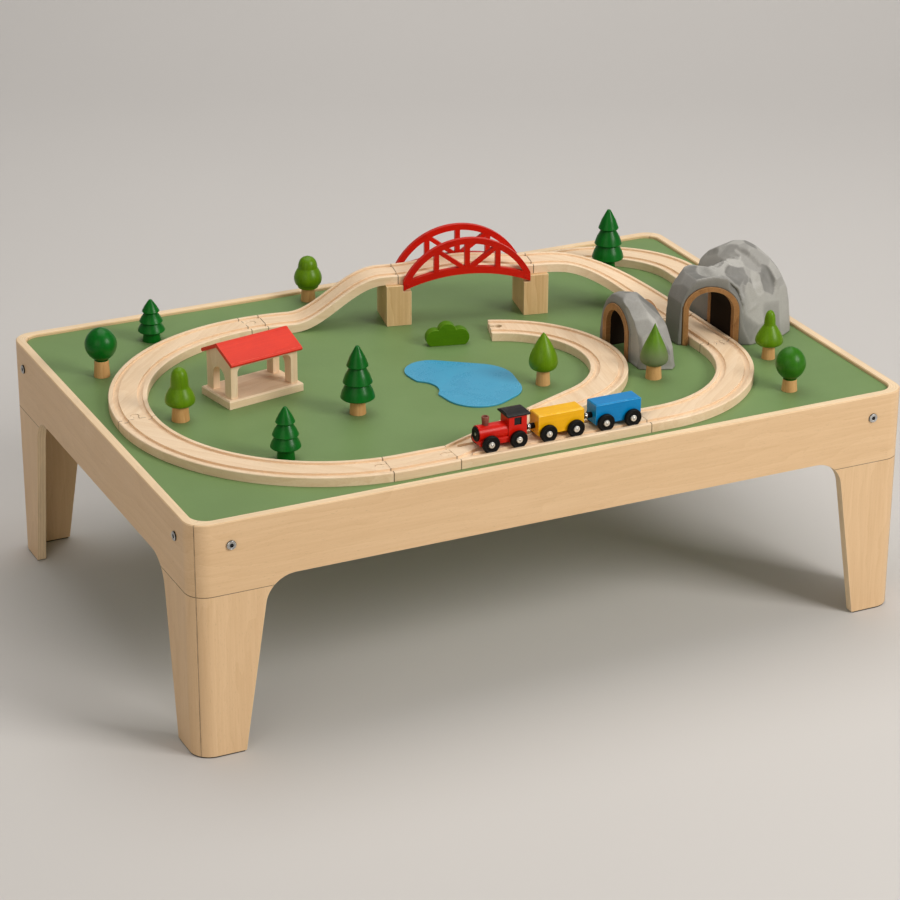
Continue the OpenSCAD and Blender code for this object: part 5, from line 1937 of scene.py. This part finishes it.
@dataclass
class CarvedRock:
    """A rock with timber-lined mouths, carved into knife cuts except on its foot and round its linings."""

    rock: str
    portals: str
    bores: tuple[Bore, ...]
    front_at: Vector
    front_normal: Vector
    cut_width: float = 0.021
    stretch: float = 2.8
    depth: float = 0.0018
    spread: float = 0.0016
    reach: float = 0.050
    limit: float = 0.010
    fill: float = 1.0
    seed: int = 3
    voxel: float = 0.0017
    foot: float = 0.006
    seat: float = 0.010
    front_reach: float = 0.0015
    front_shade: float = 0.4

    def off_front(self, place: Vector) -> float:
        """How far a point lies from the plane of the sawn front."""
        return abs((place - self.front_at).dot(self.front_normal))

    def clearance(self, place: Vector) -> float:
        """How freely a point may be carved.

        Args:
            place: The point.

        Returns:
            0 on the foot and a lining's seat, 1 in the open.
        """
        share = min(1.0, max(0.0, (place.z - BOARD_TOP) / self.foot))
        for bore in self.bores:
            off_ring = max(bore.off_axis(place) - bore.half - bore.lining, 0.0)
            share = min(share, math.hypot(off_ring, bore.off_end(place)) / self.seat)
        return share

    def dense(self, shop: Workshop) -> bpy.types.Object:
        """Makes an even, dense mesh of the rock and notes how freely each point may be carved.

        Args:
            shop: The workshop.

        Returns:
            The piece.
        """
        data = shop.frame["nodes"][self.rock].data.copy()
        welded = bmesh.new()
        welded.from_mesh(data)
        bmesh.ops.remove_doubles(welded, verts=welded.verts, dist=WELD_REACH)
        welded.to_mesh(data)
        welded.free()
        data.materials.clear()
        piece = bpy.data.objects.new(self.rock + "_carved", data)
        bpy.context.scene.collection.objects.link(piece)
        remesh = piece.modifiers.new("dense", "REMESH")
        remesh.mode = "VOXEL"
        remesh.voxel_size = self.voxel
        shop.settle(piece)
        layer = piece.data.attributes.new("carve", "FLOAT", "POINT")
        layer.data.foreach_set("value", [self.clearance(v.co) for v in piece.data.vertices])
        return piece

    def build(self, shop: Workshop) -> None:
        """Carves the rock and dresses its linings.

        Args:
            shop: The workshop.
        """
        piece = self.dense(shop)
        values = {
            "Cut Width": self.cut_width,
            "Stretch": self.stretch,
            "Depth": self.depth,
            "Spread": self.spread,
            "Reach": self.reach,
            "Limit": self.limit,
            "Fill": self.fill,
            "Seed": self.seed,
            "Finish": ROCK.material(),
        }
        CarvingTree().put_on(piece, values)
        shop.settle(piece)
        self.shade(piece.data)
        shop.fit(piece, self.rock)
        shop.dress(self.portals, (LINING,), edge=0.0006)

    def shade(self, data: bpy.types.Mesh) -> None:
        """Gives the sawn front one even shade, and paints shade round the mouths and on the walls of the
        ways.

        Args:
            data: The carved mesh.
        """
        tint = data.attributes["shade"].data
        mouth_shade = data.attributes.new("mouth_shade", "FLOAT", "POINT").data
        for vertex in data.vertices:
            if self.off_front(vertex.co) < self.front_reach:
                tint[vertex.index].value = self.front_shade
            # Painted shade round the mouths, written on the points.
            mouth_shade[vertex.index].value = max(bore.mouth_shade(vertex.co) for bore in self.bores)
        # The walls of the ways get a dark painted shade.
        data.materials.append(BORE_SHADE.material())
        for polygon in data.polygons:
            polygon.use_smooth = True
            if any(bore.holds(polygon.center) for bore in self.bores):
                polygon.material_index = 1


@dataclass
class Scenery:
    """The pond and the bush."""

    def build(self, shop: Workshop) -> None:
        """Dresses pond and bush."""
        shop.dress("pond", (POND_PAINT,), edge=0.0007)
        shop.dress("bush", (BUSH_LEAF,), edge=0.0009)


@dataclass
class TurnedTree:
    """A turned tree: a painted crown on a trunk."""

    node: str
    crown: Finish
    trunk_top: float
    trunk: Finish = TRUNK

    def pick(self, middle: Vector, normal: Vector) -> int:
        """Tells the trunk from the crown by height."""
        return 1 if middle.z < BOARD_TOP + self.trunk_top else 0

    def build(self, shop: Workshop) -> None:
        """Dresses crown and trunk."""
        shop.dress(self.node, (self.crown, self.trunk), self.pick, 0.0005, Grain.UPRIGHT, 30.0)


@dataclass
class Train:
    """The engine and its two wagons."""

    front_y: float = -0.344
    axle_z: float = 0.3963
    hub_radius: float = 0.005
    hub_slack: float = 0.0003
    ring_slack: float = 0.0006
    hub_out: float = 0.0213
    hub_face: float = 0.02279
    gaps_x: tuple[float, float] = (-0.0350, 0.0615)
    magnet_half: float = 0.00172
    door_x: float = -0.1230
    door_z: float = 0.409
    funnel_x: float = -0.107
    funnel_half: float = 0.008
    funnel_low: float = 0.4195
    window_x: tuple[float, float] = (-0.066, -0.048)
    window_out: float = 0.012
    window_slack: float = 0.0012
    window_low: float = 0.416

    def body_pick(self, middle: Vector, normal: Vector) -> int:
        """Tells the sunk cab windows from the painted body.

        Args:
            middle: Middle of a face.
            normal: Its normal.

        Returns:
            1 on a window, 0 elsewhere.
        """
        off_glass = abs(abs(middle.y - self.front_y) - self.window_out)
        sunk = off_glass < self.window_slack and middle.z > self.window_low
        return 1 if sunk and self.window_x[0] < middle.x < self.window_x[1] else 0

    def coupler_pick(self, middle: Vector, normal: Vector) -> int:
        """Tells a coupler's magnet from its black holder."""
        return 1 if any(abs(middle.x - gap) < self.magnet_half for gap in self.gaps_x) else 0

    def fitting_pick(self, middle: Vector, normal: Vector) -> int:
        """Tells magnet and stained funnel from the black fittings.

        Args:
            middle: Middle of a face.
            normal: Its normal.

        Returns:
            2 on the funnel, 1 on the magnet, 0 elsewhere.
        """
        if middle.z > self.funnel_low and abs(middle.x - self.funnel_x) < self.funnel_half:
            return 2
        return self.coupler_pick(middle, normal)

    def wheel_pick(self, axle_x: float, middle: Vector, normal: Vector) -> int:
        """Tells a wheel's bright hub from its black tyre.

        Args:
            axle_x: Place of the axle along the track.
            middle: Middle of a face.
            normal: Its normal.

        Returns:
            1 on a hub, 0 elsewhere.
        """
        out = abs(middle.y - self.front_y)
        radius = math.hypot(middle.x - axle_x, middle.z - self.axle_z)
        return 1 if radius < self.hub_radius + self.hub_slack and out > self.hub_out else 0

    def blacken(self, wheels: bpy.types.Object, axle_x: float) -> None:
        """Blackens the flat rings round the hubs, whose middles lie on the axle.

        Args:
            wheels: The dressed wheelset.
            axle_x: Place of the axle along the track.
        """
        data = wheels.data
        limit = self.hub_radius + self.ring_slack
        for polygon in data.polygons:
            corners = [data.vertices[i].co for i in polygon.vertices]
            if max(math.hypot(c.x - axle_x, c.z - self.axle_z) for c in corners) > limit:
                polygon.material_index = 0

    def build(self, shop: Workshop) -> None:
        """Dresses the train and sets the rivets of the hubs and the door's knob.

        Args:
            shop: The workshop.
        """
        # The sunk cab windows get black painted shade in place of a dark cab inside.
        shop.dress("loco_body", (RED_PAINT, RECESS_SHADE), self.body_pick, 0.0006)
        shop.dress("loco_roof", (BLACK_PAINT,), edge=0.0006)
        shop.dress("loco_fittings", (BLACK_PLASTIC, STEEL, FUNNEL_PAINT), self.fitting_pick, 0.0004)
        shop.dress("yellow_wagon", (YELLOW_PAINT,), edge=0.0007)
        shop.dress("blue_wagon", (BLUE_PAINT,), edge=0.0007)
        shop.dress("yellow_couplers", (BLACK_PLASTIC, STEEL), self.coupler_pick, 0.0003)
        shop.dress("blue_couplers", (BLACK_PLASTIC, STEEL), self.coupler_pick, 0.0003)
        studs = StudTree()
        knob = (Vector((self.door_x, self.front_y, self.door_z)), Vector((-1.0, 0.0, 0.0)))
        studs.set(shop, "door_knob", "loco_fittings", (knob,), radius=0.0024, height=0.0009)
        for name in ("loco", "yellow", "blue"):
            for end in ("front", "rear"):
                node = f"wheelset_{name}_{end}"
                corners = [v.co.x for v in shop.frame["nodes"][node].data.vertices]
                axle_x = (min(corners) + max(corners)) / 2.0
                pick = partial(self.wheel_pick, axle_x)
                wheels = shop.dress(node, (BLACK_PLASTIC, HUB_METAL), pick, 0.0005)
                self.blacken(wheels, axle_x)
                rivets = []
                for side in (-1.0, 1.0):
                    place = Vector((axle_x, self.front_y + side * self.hub_face, self.axle_z))
                    rivets.append((place, Vector((0.0, side, 0.0))))
                studs.set(shop, f"rivets_{name}_{end}", node, rivets, radius=0.0019, height=0.0005)


@dataclass(frozen=True)
class SoftBox:
    """A square soft light that looks at a point."""

    name: str
    place: Point
    size: float
    power: float
    colour: Colour
    target: Point = (0.0, 0.0, 0.3)

    def hang(self) -> None:
        """Hangs the light in the scene."""
        data = bpy.data.lights.new(self.name, "AREA")
        data.shape = "SQUARE"
        data.size = self.size
        data.energy = self.power
        data.color = self.colour
        lamp = bpy.data.objects.new(self.name, data)
        away = Vector(self.place) - Vector(self.target)
        aim = away.to_track_quat("Z", "Y").to_matrix().to_4x4()
        lamp.matrix_world = Matrix.Translation(Vector(self.place)) @ aim
        bpy.context.scene.collection.objects.link(lamp)


@dataclass
class Studio:
    """Floor, soft light and the camera of the picture."""

    eye: Point = (-1.90418, -3.96522, 2.17719)
    pan: float = 25.659
    tilt: float = 23.969
    roll: float = 0.258
    lens: float = 118.96
    sensor: float = 36.0
    paper_half: float = 9.0
    paper_top: float = 7.0
    bend_at: float = 2.6
    bend: float = 2.2
    air_colour: Colour = srgb(236, 233, 230)
    air_strength: float = 0.30
    lights: tuple[SoftBox, ...] = (
        SoftBox("key", (2.6, -3.8, 3.2), 2.0, 178.0, (1.0, 0.97, 0.93)),
        SoftBox("top", (0.2, 0.6, 3.6), 2.8, 60.0, (1.0, 0.985, 0.96)),
        SoftBox("fill", (-3.4, -3.0, 2.4), 3.0, 34.0, (1.0, 0.91, 0.78)),
        SoftBox("wall", (1.2, 2.2, 3.6), 1.6, 22.0, (1.0, 0.985, 0.97), (2.1, 4.4, 1.2)),
    )

    def build(self) -> None:
        """Sets up floor, camera, lights and the light of the room."""
        self.paper()
        self.camera()
        for light in self.lights:
            light.hang()
        world = bpy.data.worlds.new("studio air")
        bpy.context.scene.world = world
        world.use_nodes = True
        air = world.node_tree.nodes["Background"]
        air.inputs["Color"].default_value = (*self.air_colour, 1.0)
        air.inputs["Strength"].default_value = self.air_strength
        bpy.context.scene.view_settings.view_transform = "Standard"

    def paper(self) -> None:
        """Lays a sheet of paper that rises softly behind the table."""
        turn = Matrix.Rotation(math.radians(-self.pan), 4, "Z")
        profile = [(-self.paper_half, 0.0), (self.bend_at, 0.0)]
        for degrees in range(6, 91, 6):
            angle = math.radians(degrees)
            rise = self.bend - self.bend * math.cos(angle)
            profile.append((self.bend_at + self.bend * math.sin(angle), rise))
        profile.append((self.bend_at + self.bend, self.paper_top))
        points = []
        for along, height in profile:
            for side in (-self.paper_half, self.paper_half):
                points.append(turn @ Vector((side, along, height)))
        faces = [(2 * i, 2 * i + 1, 2 * i + 3, 2 * i + 2) for i in range(len(profile) - 1)]
        data = bpy.data.meshes.new("paper")
        data.from_pydata([tuple(p) for p in points], [], faces)
        for polygon in data.polygons:
            polygon.use_smooth = True
        data.materials.append(PAPER.material())
        sheet = bpy.data.objects.new("paper", data)
        bpy.context.scene.collection.objects.link(sheet)

    def camera(self) -> None:
        """Places the camera where the picture was taken from."""
        data = bpy.data.cameras.new("camera")
        data.sensor_fit = "HORIZONTAL"
        data.sensor_width = self.sensor
        data.lens = self.lens
        camera = bpy.data.objects.new("camera", data)
        aim = Euler((math.radians(90.0 - self.tilt), 0.0, math.radians(-self.pan)), "XYZ").to_matrix()
        roll = Matrix.Rotation(math.radians(self.roll), 3, "Z")
        camera.matrix_world = Matrix.Translation(Vector(self.eye)) @ (aim @ roll).to_4x4()
        bpy.context.scene.collection.objects.link(camera)
        bpy.context.scene.camera = camera


TREES: tuple[TurnedTree, ...] = (
    TurnedTree("tree_ball_left", DARK_LEAF, 0.0274),
    TurnedTree("tree_spruce_back_left", DARK_LEAF, 0.0, DARK_LEAF),
    TurnedTree("tree_round_back", LIGHT_LEAF, 0.0234),
    TurnedTree("tree_bell_left", LIGHT_LEAF, 0.0254),
    TurnedTree("tree_spruce_front_left", DARK_LEAF, 0.0, DARK_LEAF),
    TurnedTree("tree_spruce_middle", DARK_LEAF, 0.0253),
    TurnedTree("tree_egg_middle", LIGHT_LEAF, 0.0244),
    TurnedTree("tree_spruce_back_right", DARK_LEAF, 0.0, DARK_LEAF),
    TurnedTree("tree_cone_cave", MOSS_LEAF, 0.0234),
    TurnedTree("tree_cone_right", LIGHT_LEAF, 0.0234),
    TurnedTree("tree_ball_right", DEEP_LEAF, 0.0194),
)


FRONT_TURN = math.radians(25.0)

ROCKS: tuple[CarvedRock, ...] = (
    CarvedRock(
        rock="mountain_rock",
        portals="mountain_portals",
        bores=(
            # The main way reaches past the rock's back, so that the face seen through the tunnel also gets
            # the walls' painted shade.
            Bore(Grain.ALONG_Y, middle=0.418, low=-0.135, high=0.080, half=0.033, spring=0.060),
            Bore(Grain.ALONG_Y, middle=0.532, low=-0.050, high=0.060, half=0.032, spring=0.038),
        ),
        front_at=Vector((0.418, -0.104, 0.0)),
        front_normal=Vector((math.sin(FRONT_TURN), math.cos(FRONT_TURN), 0.0)),
    ),
    CarvedRock(
        rock="cave_rock",
        portals="cave_portals",
        bores=(
            Bore(
                Grain.ALONG_X, middle=-0.068, low=0.250, high=0.335, half=0.031, spring=0.042, lining=0.0115
            ),
        ),
        front_at=Vector((0.263, -0.068, 0.0)),
        front_normal=Vector((1.0, 0.0, 0.0)),
        cut_width=0.018,
        reach=0.040,
        seed=5,
    ),
)


def main() -> None:
    """Builds the sub-assemblies in order."""
    logging.basicConfig(level=logging.INFO, format="%(name)s: %(message)s")
    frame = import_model()
    shop = Workshop(frame)
    Studio().build()
    TableFrame().build(shop)
    Railway().build(shop)
    Bridge().build(shop)
    Station().build(shop)
    for rock in ROCKS:
        rock.build(shop)
    Scenery().build(shop)
    for tree in TREES:
        tree.build(shop)
    Train().build(shop)
    bpy.context.view_layer.update()


if __name__ == "__main__":
    main()
